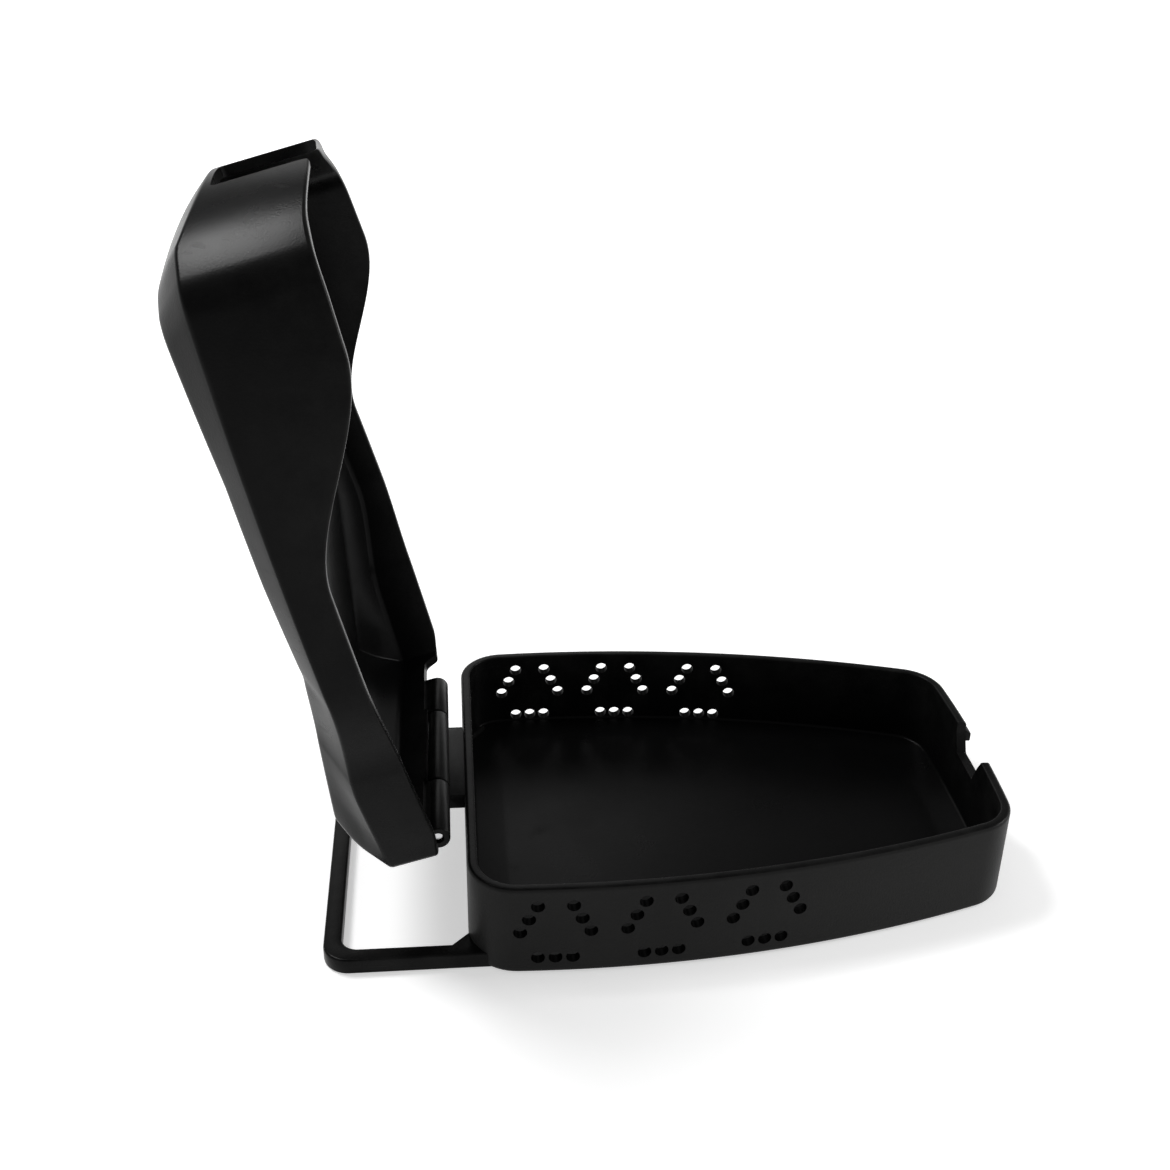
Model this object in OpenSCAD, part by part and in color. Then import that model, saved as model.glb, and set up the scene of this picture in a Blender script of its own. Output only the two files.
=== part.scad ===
// Hinged hard case for a mouthguard: vented tray with a carry loop, and a faceted lid
// Origin: centre of the tray's flat underside. +X runs from the hinge to the nose, +Z is up

/* [Tray] */
// Length of the tray, from its hinge wall to its front wall
tray_len = 98; // [84:0.5:116]
// Width of the tray at its widest
tray_w = 76.8; // [66:0.2:90]
// Height of the tray, from the underside to the rim
tray_h = 17.7; // [16.5:0.1:26]
// Thickness of the tray's walls
tray_wall = 1.8; // [1.2:0.1:2.4]
// Thickness of the floor in the middle
floor_t = 1.4; // [1:0.1:2]
// Radius of the long bowed sides
side_r = 238; // [200:1:400]
// Distance from the hinge wall to the widest place
belly_d = 18.8; // [14:0.1:30]
// Radius of the front wall's bow
front_r = 300; // [150:5:600]
// Corner radius at the hinge wall
back_corner_r = 8.5; // [5:0.5:12]
// Corner radius at the front wall
front_corner_r = 9; // [6:0.5:12]
// Rounding of the rim's outer edge
rim_round = 0.7; // [0.2:0.1:0.9]
// Rounding of the underside's outer edge
base_round = 1; // [0.3:0.1:1.4]
// Height over the floor at which the sloping band leaves the walls
band_rise = 0.7; // [0.4:0.1:0.8]
// Width of the sloping band round the floor
band_w = 6; // [3:0.5:10]

/* [Vents] */
// Diameter of one vent hole
vent_d = 2.35; // [1.6:0.05:2.6]
// Number of triangles in each side wall
vent_groups = 3; // [1:1:3]
// Distance between neighbouring triangles
vent_pitch = 18; // [16:0.5:20]
// Distance from the hinge wall to the middle of the first triangle
vent_start = 14.4; // [13:0.1:20]
// Height of the bottom row of holes
vent_z = 3.45; // [3.3:0.05:5]
// Distance between neighbouring holes in the bottom row
vent_row_step = 2.94; // [2.8:0.02:3.2]
// Height of the lowest hole of a leg over the bottom row
vent_leg_z = 5.44; // [4.5:0.02:6]
// Sideways distance of the lowest hole of a leg from the triangle's middle
vent_leg_x = 5.91; // [5:0.01:6.5]
// Sideways step between neighbouring holes of a leg
vent_step_x = 1.47; // [1.3:0.01:1.6]
// Height step between neighbouring holes of a leg
vent_step_z = 2.73; // [2.4:0.01:2.9]

/* [Front notch and catch] */
// Width of the tray's front notch at the rim
notch_w = 12.4; // [9:0.1:16]
// Width of the tray's front notch at its floor
notch_floor_w = 8.6; // [6:0.1:9]
// Depth of the tray's front notch under the rim
notch_d = 6; // [4:0.1:9]
// Easing of the notch's corner on the side away from the catch nub
notch_ease = 1.4; // [0.2:0.1:2]
// Length of the catch nub beside the notch
nub_len = 2.6; // [1.5:0.1:4]
// Height of the catch nub
nub_h = 2.4; // [1.5:0.1:3]
// How far the catch nub stands out of the front wall
nub_out = 1.2; // [0.6:0.1:1.6]

/* [Carry loop] */
// Reach of the loop behind the hinge wall
loop_reach = 24.6; // [18:0.1:40]
// Outer width of the loop
loop_w = 69.6; // [56:0.2:72]
// Sideways shift of the loop's middle
loop_shift = -1.5; // [-1.5:0.1:0]
// Width of the bar across the end
loop_end_bar = 3.1; // [2.2:0.1:5]
// Width of the two side bars
loop_side_bar = 2.9; // [2.2:0.1:4.5]
// Height of the bars
loop_h = 3.05; // [2.5:0.05:5]
// Outer corner radius of the loop
loop_corner_r = 4.5; // [2:0.1:6]
// Size of the gussets where the loop meets the hinge wall
gusset = 2.8; // [1:0.1:5]

/* [Hinge] */
// Distance from the hinge wall back to the pin
hinge_gap = 4.7; // [4.2:0.1:7]
// Height of the pin over the tray's rim
hinge_rise = 1.75; // [1.4:0.05:2]
// Diameter of the hinge barrel
barrel_d = 4.2; // [3.8:0.1:4.8]
// Reach of the barrel from the middle on the nub's far side
barrel_near = 25.7; // [20:0.1:27]
// Reach of the barrel from the middle on the nub's own side
barrel_far = 23.1; // [20:0.1:27]
// Length of the tray's middle knuckle
knuckle_len = 22; // [14:0.5:26]
// Gap between neighbouring knuckles
knuckle_gap = 0.3; // [0.2:0.05:0.6]
// Diameter of the steel pin
pin_d = 2; // [1.6:0.1:2.2]
// Radial running clearance of the pin in the lid's knuckles
pin_clear = 0.05; // [0.02:0.01:0.09]
// How far the pin's ends lie inside the barrel's ends
pin_recess = 0.7; // [0.2:0.1:1.5]
// Thickness of the tab that carries the middle knuckle
tab_t = 2.8; // [2:0.1:4]
// Depth of the tab's top under the rim
tab_drop = 0.35; // [0.2:0.05:1]
// How much the tab is narrower than its knuckle, on either side
tab_inset = 0.1; // [0.05:0.05:0.5]
// Angle at which the lid stands open on its stop
open_angle = 106; // [90:1:110]

/* [Lid] */
// Thickness of the lid's shell
lid_wall = 1.6; // [1.2:0.1:2]
// Gap between the closed lid's rim and the tray's rim
rim_gap = 0.25; // [0.25:0.05:0.6]
// Gap between the lid's skirt and the tray's side walls
skirt_gap = 0.5; // [0.35:0.05:1]
// How far the skirt hangs below the straight rim
skirt_drop = 13.1; // [8:0.1:13.5]
// Lift of the skirt's rim at the nose's corners
nose_lift = 0.5; // [0:0.1:1]
// Drop of the rim from the nose's corners to its middle
nose_drop = 1.2; // [0:0.1:1.3]
// Reach of the nose in front of the tray
nose_reach = 6.8; // [5.5:0.1:12]
// Radius of the nose's bow, seen from above
nose_r = 45; // [38:1:60]
// Radius of the nose's corners, seen from above
nose_corner_r = 10; // [8:0.5:14]
// Distance from the pin's axis to the lid's end wall, along the lid
end_u = 1.2; // [0.8:0.1:1.6]
// Corner radius at the lid's hinge end
end_corner_r = 2; // [1.8:0.1:3]
// Lift of the rim at the hinge end
end_lift = 0.9; // [0:0.1:1]
// Length over which the rim lifts
end_lift_len = 6; // [3:0.5:9]
// How far the end wall comes down further behind the tray's knuckle
apron_drop = 0.6; // [0.4:0.1:0.8]
// Sideways distance from the barrel's end to the full side wall
relief_w = 5.6; // [4:0.1:6]
// How far the lid's shoulders stand in from its sides near the hinge
shoulder_in = 4; // [0:0.1:5]
// Slope by which the shoulders narrow on towards the hinge
shoulder_taper = 0.125; // [0:0.005:0.16]
// Height of the side walls' upper edge over the pin, near the hinge
edge_z_back = 7.5; // [6:0.1:9]
// Height of the side walls' upper edge over the pin, along the middle
edge_z_mid = 4.7; // [4:0.1:6]
// Height of the nose's upper edge over the pin
edge_z_nose = 1; // [0.5:0.1:3]
// Width of the bevel along the sides, seen from above
bevel_w = 6.2; // [4:0.1:9]
// Length of the sloping facet at the hinge end
end_facet = 9.2; // [6:0.1:12]
// Swelling of the facet at the hinge end
end_swell = 1.1; // [0:0.1:1.5]
// Length of the sloping facet over the nose
nose_facet = 6; // [4:0.1:9]
// Height of the top panel over the pin at the hinge end
top_z_back = 14.4; // [12:0.1:16]
// Height of the top panel over the pin at the waist
top_z_waist = 8.15; // [7.5:0.05:10]
// Rise of the top panel from the waist to the middle
waist_rise = 0.7; // [0:0.1:1.5]
// Height of the top panel over the pin at the brow
top_z_brow = 10.3; // [9.5:0.1:13]
// Height of the nose facet's upper edge over the pin
top_z_nose = 7.9; // [5.5:0.1:9]
// Swelling of the facet over the nose
nose_swell = 0.6; // [0:0.1:1.5]
// Crown of the top panel
crown = 0.5; // [0:0.1:1.2]
// Share of the panel's length at which its crown is full
crown_len = 0.86; // [0.8:0.01:0.9]
// Width of the notch in the nose
nose_notch_w = 12; // [8:0.1:14]
// Sideways shift of the notch's middle
nose_notch_shift = -0.8; // [-1:0.1:0]
// Height of the nose notch's closed end over the pin
nose_notch_z = -0.2; // [-2:0.1:0.4]
// Easing of the nose notch's corners at the rim
nose_ease = 1.2; // [0.2:0.1:2]

/* [Hidden] */

// Small overlap that joins solids of one piece, and lets a cut run past a face
eps = 0.01;
past = 2;
// Colours of the black plastic and of the pin
black = [0.09, 0.09, 0.095];
steel = [0.72, 0.72, 0.74];
// Steps on each round stretch of the two outlines, and round small and large circles
n_side = 18;
n_corner = 7;
n_front = 6;
fn_small = 32;
fn_large = 64;
// Share of a rounding at which its middle line lies, in from either face
round_mid = 0.3;
// Smallest radius of an inner corner
corner_min = 0.4;

// Places that follow from the sizes, measured from the pin along the closed lid
back_x = -tray_len / 2;
pin_x = back_x - hinge_gap;
pin_z = tray_h + hinge_rise;
barrel_r = barrel_d / 2;
belly_u = hinge_gap + belly_d;
nose_u = hinge_gap + tray_len + nose_reach;
lid_len = nose_u - end_u;
lid_out = skirt_gap + lid_wall;
rim_z = rim_gap - hinge_rise;
relief_z = barrel_r - knuckle_gap;

// Stations along the lid, as shares of its length from hinge end to nose
at_shoulder = 0.192;
at_shoulder_end = 0.36;
at_edge_fall = 0.143;
at_edge_mid = 0.346;
at_edge_nose = 0.956;
at_skirt = 0.495;
at_skirt_end = 0.795;
at_nose_lift = 0.86;
at_nose_lift_end = 0.96;
at_nose_drop = 0.943;
at_nose_swell = 0.9;
at_end_swell = 0.09;
// Share of the waist's rise that the panel has reached half way along, and how far it lies
// under the brow's height before and behind the brow
mid_rise = 0.85;
brow_before = 0.3;
brow_behind = 0.15;
// The top panel's stations: share of the panel's length, and height over the pin
panel = [
    [0, top_z_back],
    [0.335, top_z_waist],
    [0.5, top_z_waist + waist_rise * mid_rise],
    [0.667, top_z_waist + waist_rise],
    [0.8625, top_z_brow - brow_before],
    [0.92, top_z_brow],
    [0.95, top_z_brow - brow_behind],
    [1, top_z_nose]
];
// Half width of the neck under the middle knuckle, as a share of the barrel's radius
neck_share = 0.8;
// Slope of the bevels, which sets how the shell's inside follows its outside
bevel_a = 38;
crease_in = lid_wall * tan(45 - bevel_a / 2);
panel_in = lid_wall * tan(bevel_a / 2);

// Smooth step from 0 to 1 as t goes from 0 to 1
function ease(t) = let (c = min(1, max(0, t))) c * c * (3 - 2 * c);
// Share of the way from a to b at which v lies
function share(v, a, b) = (v - a) / (b - a);
function angle_of(v) = atan2(v[1], v[0]);
// Points of an arc, without its last point
function arc(c, r, a0, a1, n) =
    [for (i = [0:n - 1]) c + r * [cos(a0 + (a1 - a0) * i / n), sin(a0 + (a1 - a0) * i / n)]];
// Where two circles meet, on the side that lies clockwise of the line between them
function meet(p, r, q, s) =
    let (
        d = norm(q - p),
        e = (q - p) / d,
        a = (r * r - s * s + d * d) / (2 * d),
        h = sqrt(r * r - a * a)
    ) p + a * e + h * [e[1], -e[0]];

// Closed outline, counterclockwise from the front: bowed front, round corners, bowed sides
// and a straight back. x0 and x1 are its ends, hw its half width at x = xb
function outline(x0, x1, xb, hw, rs, rf, rb, rc) =
    let (
        s = [xb, hw - rs],
        f = [x1 - rf, 0],
        c = meet(s, rs - rc, f, rf - rc),
        b = [x0 + rb, s[1] + sqrt(pow(rs - rb, 2) - pow(x0 + rb - xb, 2))],
        a_front = angle_of(c - f),
        a_side = angle_of(c - s),
        a_back = angle_of(b - s),
        a_first = a_front / (2 * n_front - 1),
        half = concat(
            arc(f, rf, a_first, a_front, n_front - 1),
            arc(c, rc, a_front, a_side, n_corner),
            arc(s, rs, a_side, a_back, n_side),
            arc(b, rb, a_back, 180, n_corner),
            [[x0, b[1]]]
        )
    ) concat(half, [for (i = [len(half) - 1:-1:0]) [half[i][0], -half[i][1]]]);

// The tray's outline, drawn in by d all round
function tray_outline(d) =
    outline(back_x + d, tray_len / 2 - d, back_x + belly_d, tray_w / 2 - d,
        side_r - d, front_r - d, back_corner_r - d, front_corner_r - d);
// The outline of the sloping band's inner edge
function floor_outline(d) =
    outline(back_x + tray_wall + d, tray_len / 2 - tray_wall - d, back_x + belly_d,
        tray_w / 2 - tray_wall - d, side_r - tray_wall - d, front_r - tray_wall - d,
        back_corner_r - tray_wall, front_corner_r - tray_wall);
function at_height(points, z) = [for (p = points) [p[0], p[1], z]];

// How far the lid's side stands in at u, for the shoulders
function pinch(u) =
    let (
        u0 = end_u + at_shoulder * lid_len,
        u1 = end_u + at_shoulder_end * lid_len
    ) shoulder_in * (1 - ease(share(u, u0, u1))) + shoulder_taper * max(0, u0 - u);
function pinched(p) = [p[0], p[1] - sign(p[1]) * min(abs(p[1]), pinch(p[0]))];
// The lid's outline in its closed place, drawn in by d
function lid_outline(d) =
    [for (p = outline(end_u + d, nose_u - d, belly_u, tray_w / 2 + lid_out - d,
        side_r + lid_out - d, nose_r - d, max(corner_min, end_corner_r - d), nose_corner_r - d))
        pinched(p)];
// Heights over the pin: the rim, and the upper edge of the side walls
function rim_at(u) =
    let (t = share(u, end_u, nose_u))
    rim_z - skirt_drop * ease(share(t, at_skirt, at_skirt_end))
        + nose_lift * ease(share(t, at_nose_lift, at_nose_lift_end))
        - nose_drop * ease(share(t, at_nose_drop, 1))
        + end_lift * (1 - ease(share(u, end_u, end_u + end_lift_len)));
function edge_at(u) =
    let (t = share(u, end_u, nose_u))
    edge_z_back + (edge_z_mid - edge_z_back) * ease(share(t, at_edge_fall, at_edge_mid))
        + (edge_z_nose - edge_z_mid) * max(0, share(t, at_edge_nose, 1));
// The top panel's edge that belongs to a point of the outline, d inside the outer one
function panel_point(p, d) =
    let (
        t = share(p[0], end_u + lid_wall * sign(d), nose_u - lid_wall * sign(d)),
        u0 = end_u + end_facet + d,
        u1 = nose_u - nose_facet - d
    ) [u0 + t * (u1 - u0), p[1] * (1 - (bevel_w + d) / (tray_w / 2 + lid_out)), lookup(t, panel)];

module ring_stack(rings) {
    // Skin through rings of equal length: from the underside up, over the rim, and down inside.
    // The two ends are closed by strips across, from each point to its mirror image
    n = len(rings[0]);
    top = len(rings) - 1;
    sides = [for (k = [0:top - 1], i = [0:n - 1]) let (j = (i + 1) % n)
        [(k + 1) * n + i, (k + 1) * n + j, k * n + j, k * n + i]];
    first = [for (i = [0:n / 2 - 2]) [i, i + 1, n - 2 - i, n - 1 - i]];
    last = [for (f = first) [for (i = [3:-1:0]) f[i] + top * n]];
    polyhedron([for (r = rings) each r], concat(sides, first, last));
}

module tray_shell() {
    inside = tray_outline(tray_wall);
    ring_stack([
        at_height(tray_outline(base_round), 0),
        at_height(tray_outline(base_round * round_mid), base_round * round_mid),
        at_height(tray_outline(0), base_round),
        at_height(tray_outline(0), tray_h - rim_round),
        at_height(tray_outline(rim_round * round_mid), tray_h - rim_round * round_mid),
        at_height(tray_outline(rim_round), tray_h),
        at_height(inside, tray_h),
        at_height(inside, floor_t + band_rise),
        at_height(floor_outline(band_w), floor_t)
    ]);
}

module vent_triangle() {
    // Three holes along the bottom and three up each leg, cut along Y
    for (i = [-1:1])
        vent_hole(i * vent_row_step, 0);
    for (side = [-1, 1], i = [0:2])
        vent_hole(side * (vent_leg_x - i * vent_step_x), vent_leg_z + i * vent_step_z);
}

module vent_hole(x, z) {
    translate([x, 0, z])
        rotate([90, 0, 0])
            cylinder(h = tray_w + past, d = vent_d, center = true, $fn = fn_small);
}

module front_notch() {
    // Tapering cut through the front wall
    translate([tray_len / 2 - tray_wall - past, 0, 0])
        rotate([90, 0, 90])
            linear_extrude(tray_wall + 2 * past)
                polygon([
                    [-notch_floor_w / 2, tray_h - notch_d],
                    [notch_floor_w / 2, tray_h - notch_d],
                    [notch_w / 2, tray_h - notch_d / 3],
                    [notch_w / 2, tray_h + past],
                    [-notch_w / 2 - notch_ease, tray_h + past],
                    [-notch_w / 2 - notch_ease, tray_h],
                    [-notch_w / 2, tray_h - notch_d / 3]
                ]);
}

module catch_nub() {
    // Wedge on the outer face, beside the notch: square below, sloping above
    translate([tray_len / 2 - tray_wall / 2, notch_w / 2 + nub_len, tray_h - rim_round])
        rotate([90, 0, 0])
            linear_extrude(nub_len)
                polygon([
                    [0, 0],
                    [tray_wall / 2, 0],
                    [tray_wall / 2 + nub_out, -nub_h / 2],
                    [tray_wall / 2 + nub_out, -nub_h],
                    [0, -nub_h]
                ]);
}

module rounded_bar_plan(x0, x1, w, r) {
    // Rectangle from x0 to x1 with round corners at x0
    translate([x0 + r, -w / 2])
        square([x1 - x0 - r, w]);
    translate([x0, -w / 2 + r])
        square([r + eps, w - 2 * r]);
    for (side = [-1, 1])
        translate([x0 + r, side * (w / 2 - r)])
            circle(r = r, $fn = fn_large);
}

module carry_loop() {
    x_end = back_x - loop_reach;
    inner_w = loop_w - 2 * loop_side_bar;
    linear_extrude(loop_h)
        difference() {
            translate([0, loop_shift])
                difference() {
                    rounded_bar_plan(x_end, back_x + back_corner_r, loop_w, loop_corner_r);
                    rounded_bar_plan(x_end + loop_end_bar, back_x - gusset, inner_w,
                        loop_corner_r - loop_end_bar / 2);
                    polygon([
                        [back_x - gusset - loop_corner_r, -inner_w / 2],
                        [back_x - gusset, -inner_w / 2],
                        [back_x, -inner_w / 2 + gusset],
                        [back_x + tray_wall, -inner_w / 2 + gusset],
                        [back_x + tray_wall, inner_w / 2 - gusset],
                        [back_x, inner_w / 2 - gusset],
                        [back_x - gusset, inner_w / 2],
                        [back_x - gusset - loop_corner_r, inner_w / 2]
                    ]);
                }
            polygon(tray_outline(tray_wall / 2));
        }
}

module barrel(y0, y1) {
    // Round bar along Y round the pin's axis
    translate([0, y1, 0])
        rotate([90, 0, 0])
            cylinder(h = y1 - y0, r = barrel_r, $fn = fn_large);
}

module pin_bore(r) {
    // Through the whole barrel
    translate([0, barrel_far + past, 0])
        rotate([90, 0, 0])
            cylinder(h = barrel_near + barrel_far + 2 * past, r = r, $fn = fn_large);
}

module tray_knuckle() {
    // Barrel on a neck, on a tab that reaches into the hinge wall
    tab_w = knuckle_len - 2 * tab_inset;
    tab_top = tray_h - tab_drop - pin_z;
    neck_x = neck_share * barrel_r;
    barrel(-knuckle_len / 2, knuckle_len / 2);
    translate([0, tab_w / 2, 0])
        rotate([90, 0, 0])
            linear_extrude(tab_w)
                polygon([
                    [-neck_x, -barrel_r / 2],
                    [-neck_x, tab_top - tab_t],
                    [hinge_gap + tray_wall / 2, tab_top - tab_t],
                    [hinge_gap + tray_wall / 2, tab_top],
                    [neck_x, tab_top],
                    [neck_x, -barrel_r / 2]
                ]);
}

module tray() {
    color(black)
        difference() {
            union() {
                tray_shell();
                carry_loop();
                catch_nub();
                translate([pin_x, 0, pin_z])
                    tray_knuckle();
            }
            for (i = [0:vent_groups - 1])
                translate([back_x + vent_start + i * vent_pitch, 0, vent_z])
                    vent_triangle();
            front_notch();
            translate([pin_x, 0, pin_z])
                pin_bore(pin_d / 2);
        }
}

module lid_shell() {
    outer = lid_outline(0);
    inner = lid_outline(lid_wall);
    edge_out = [for (p = outer) [p[0], p[1], edge_at(p[0])]];
    edge_in = [for (p = inner) [p[0], p[1], edge_at(p[0]) - crease_in]];
    panel_out = [for (p = outer) panel_point(p, 0)];
    panel_under = [for (p = inner) panel_point(p, panel_in) - [0, 0, lid_wall]];
    ring_stack([
        crowned(panel_under, -lid_wall),
        panel_under,
        swollen(edge_in, panel_under),
        edge_in,
        [for (p = inner) [p[0], p[1], rim_at(p[0])]],
        [for (p = outer) [p[0], p[1], rim_at(p[0])]],
        edge_out,
        swollen(edge_out, panel_out),
        panel_out,
        crowned(panel_out, 0)
    ]);
}

// The line half way up the bevel, which swells out over the nose and at the hinge end
function swollen(a, b) =
    [for (i = [0:len(a) - 1])
        let (t = share(a[i][0], end_u, nose_u))
        (a[i] + b[i]) / 2 + [0, 0, nose_swell * ease(share(t, at_nose_swell, 1))
            + end_swell * ease(share(t, at_end_swell, 0))]];

// The middle of the top panel: its edge drawn in, crowned, and moved by dz
function crowned(points, dz) =
    let (
        u0 = points[len(points) / 2][0],
        u1 = points[0][0],
        m = (u0 + u1) / 2
    ) [for (p = points)
        let (u = m + (p[0] - m) * crown_len, t = share(u, u0, u1))
        [u, p[1] / 2, lookup(t, panel) + dz + crown * (1 - pow(2 * t - 1, 4))]];

module end_relief() {
    // Cut that lowers the end wall's rim between the side walls, sloping up to them
    y0 = barrel_near + relief_w / 2;
    y1 = barrel_near + relief_w;
    translate([-past, 0, 0])
        rotate([90, 0, 90])
            linear_extrude(past + end_u + end_corner_r)
                polygon([
                    [y1 + past, rim_z - past],
                    [y1, rim_z],
                    [y0, relief_z],
                    [-y0, relief_z],
                    [-y1, rim_z],
                    [-y1 - past, rim_z - past]
                ]);
}

module knuckle_apron() {
    // Stretch of the end wall that comes down behind the tray's knuckle, between the webs
    half = knuckle_len / 2 + knuckle_gap + eps;
    translate([end_u, -half, relief_z - apron_drop])
        cube([lid_wall, 2 * half, apron_drop + lid_wall]);
}

module knuckle_trough() {
    // Round trough in the end wall, which clears the tray's knuckle
    rotate([90, 0, 0])
        cylinder(h = knuckle_len + 2 * knuckle_gap, r = barrel_r + knuckle_gap,
            center = true, $fn = fn_large);
}

module lid_knuckle(y0, y1) {
    // Barrel with the web that ties it to the end wall
    web_u = end_u + lid_wall / 2;
    web_z = barrel_r + lid_wall / 2;
    barrel(y0, y1);
    translate([0, y1, 0])
        rotate([90, 0, 0])
            linear_extrude(y1 - y0)
                polygon([[0, 0], [web_u, 0], [web_u, web_z], [end_u - eps, web_z], [0, barrel_r]]);
}

module nose_notch() {
    // Slot through the nose's front wall, open at the rim, where its corners are eased
    z0 = rim_z - skirt_drop + nose_lift - nose_drop;
    y0 = nose_notch_w / 2;
    translate([nose_u - nose_facet, nose_notch_shift, 0])
        rotate([90, 0, 90])
            linear_extrude(nose_facet + past)
                polygon([
                    [-y0, nose_notch_z],
                    [-y0, z0 + nose_ease],
                    [-y0 - nose_ease, z0 - past],
                    [y0 + nose_ease, z0 - past],
                    [y0, z0 + nose_ease],
                    [y0, nose_notch_z]
                ]);
}

module lid_closed() {
    difference() {
        union() {
            difference() {
                union() {
                    difference() {
                        lid_shell();
                        end_relief();
                        nose_notch();
                    }
                    knuckle_apron();
                }
                knuckle_trough();
            }
            lid_knuckle(-barrel_near, -knuckle_len / 2 - knuckle_gap);
            lid_knuckle(knuckle_len / 2 + knuckle_gap, barrel_far);
        }
        pin_bore(pin_d / 2 + pin_clear);
    }
}

module lid() {
    color(black)
        translate([pin_x, 0, pin_z])
            rotate([0, -open_angle, 0])
                lid_closed();
}

module hinge_pin() {
    y0 = -barrel_near + pin_recess;
    y1 = barrel_far - pin_recess;
    color(steel)
        translate([pin_x, y1, pin_z])
            rotate([90, 0, 0])
                cylinder(h = y1 - y0, d = pin_d, $fn = fn_large);
}

tray();
lid();
hinge_pin();
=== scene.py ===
"""Looks of a hinged mouthguard case: a vented tray with a carry loop, and a deep-sided lid.

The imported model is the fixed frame. Its three pieces are built again here, close to the solids'
sizes, with rounded rims, softened creases and fine outlines, and they stand in for their CAD
nodes. Sizes are in millimetres and become metres where a mesh is made.
"""

import logging
import math
from dataclasses import dataclass, field
from enum import Enum
from typing import Callable, Iterable, Sequence

import bmesh
import bpy
import numpy as np
from mathutils import Matrix, Vector


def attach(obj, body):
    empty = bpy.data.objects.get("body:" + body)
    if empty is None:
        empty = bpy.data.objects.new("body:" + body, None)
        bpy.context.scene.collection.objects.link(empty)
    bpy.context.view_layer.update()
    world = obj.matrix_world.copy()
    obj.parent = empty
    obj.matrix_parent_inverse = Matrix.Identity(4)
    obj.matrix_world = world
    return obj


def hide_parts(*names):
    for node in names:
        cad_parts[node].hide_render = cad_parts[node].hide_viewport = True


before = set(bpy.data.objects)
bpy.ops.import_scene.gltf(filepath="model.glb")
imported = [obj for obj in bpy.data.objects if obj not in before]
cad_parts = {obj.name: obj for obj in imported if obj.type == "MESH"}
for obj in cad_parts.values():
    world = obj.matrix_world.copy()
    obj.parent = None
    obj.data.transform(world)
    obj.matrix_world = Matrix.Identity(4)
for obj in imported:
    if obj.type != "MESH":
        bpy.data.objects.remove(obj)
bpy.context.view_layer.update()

LOG = logging.getLogger("mouthguard_case")
Rings = list[np.ndarray]
# A corner's place, and how far its rounding reaches along its two edges
Corner = tuple[tuple[float, float], float]

# A millimetre in metres
MM = 0.001
# Points nearer to each other than this become one, in metres
MERGE = 2e-6
# Lengths under this count as none, in millimetres
TINY = 1e-6
# A rounding takes at most this share of the edge beside it, on a stack's crease and on a corner
CREASE_SHARE = 0.48
CORNER_SHARE = 0.49
# Number of places along a rounding
ROUND_STEPS = 7
# An edge that bends by this angle gets the full edge mark, abrasion and painted highlight, in
# radians
WEAR_AND_HIGHLIGHT_BEND = 0.3


class Slot(Enum):
    """The record's material slots, listed beside the pieces."""

    PLASTIC = "black_plastic"
    STEEL = "pin_steel"


# Shapes in numbers


def ease(t: np.ndarray) -> np.ndarray:
    """Smooth step from 0 to 1.

    Args:
        t: Values, clipped to 0 to 1.

    Returns:
        The eased values.
    """
    c = np.clip(t, 0.0, 1.0)
    return c * c * (3.0 - 2.0 * c)


def share(v: np.ndarray, a: float, b: float) -> np.ndarray:
    """Share of the way from a to b at which v lies."""
    return (v - a) / (b - a)


def arc(centre: np.ndarray, r: float, a0: float, a1: float, n: int) -> np.ndarray:
    """Points of an arc, without its last point.

    Args:
        centre: Middle of the circle.
        r: Radius.
        a0: First angle, in radians.
        a1: Last angle, in radians.
        n: Number of points.

    Returns:
        An array of n points.
    """
    a = a0 + (a1 - a0) * np.arange(n) / n
    return centre + r * np.stack([np.cos(a), np.sin(a)], 1)


def meet(p: np.ndarray, r: float, q: np.ndarray, s: float) -> np.ndarray:
    """Where two circles meet, on the side that lies clockwise of the line between them.

    Args:
        p: Middle of the first circle.
        r: Its radius.
        q: Middle of the second circle.
        s: Its radius.

    Returns:
        The place.
    """
    d = float(np.linalg.norm(q - p))
    e = (q - p) / d
    a = (r * r - s * s + d * d) / (2 * d)
    return p + a * e + math.sqrt(r * r - a * a) * np.array([e[1], -e[0]])


def mirrored(half: Sequence[Sequence[float]]) -> np.ndarray:
    """Half an outline, followed by its mirror image across the middle line."""
    points = np.asarray(half)
    return np.concatenate([points, points[::-1] * [1.0, -1.0]])


@dataclass(frozen=True)
class Steps:
    """Number of points on each stretch of half an outline."""

    front: int = 22
    corner: int = 14
    side: int = 80
    back: int = 12


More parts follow.
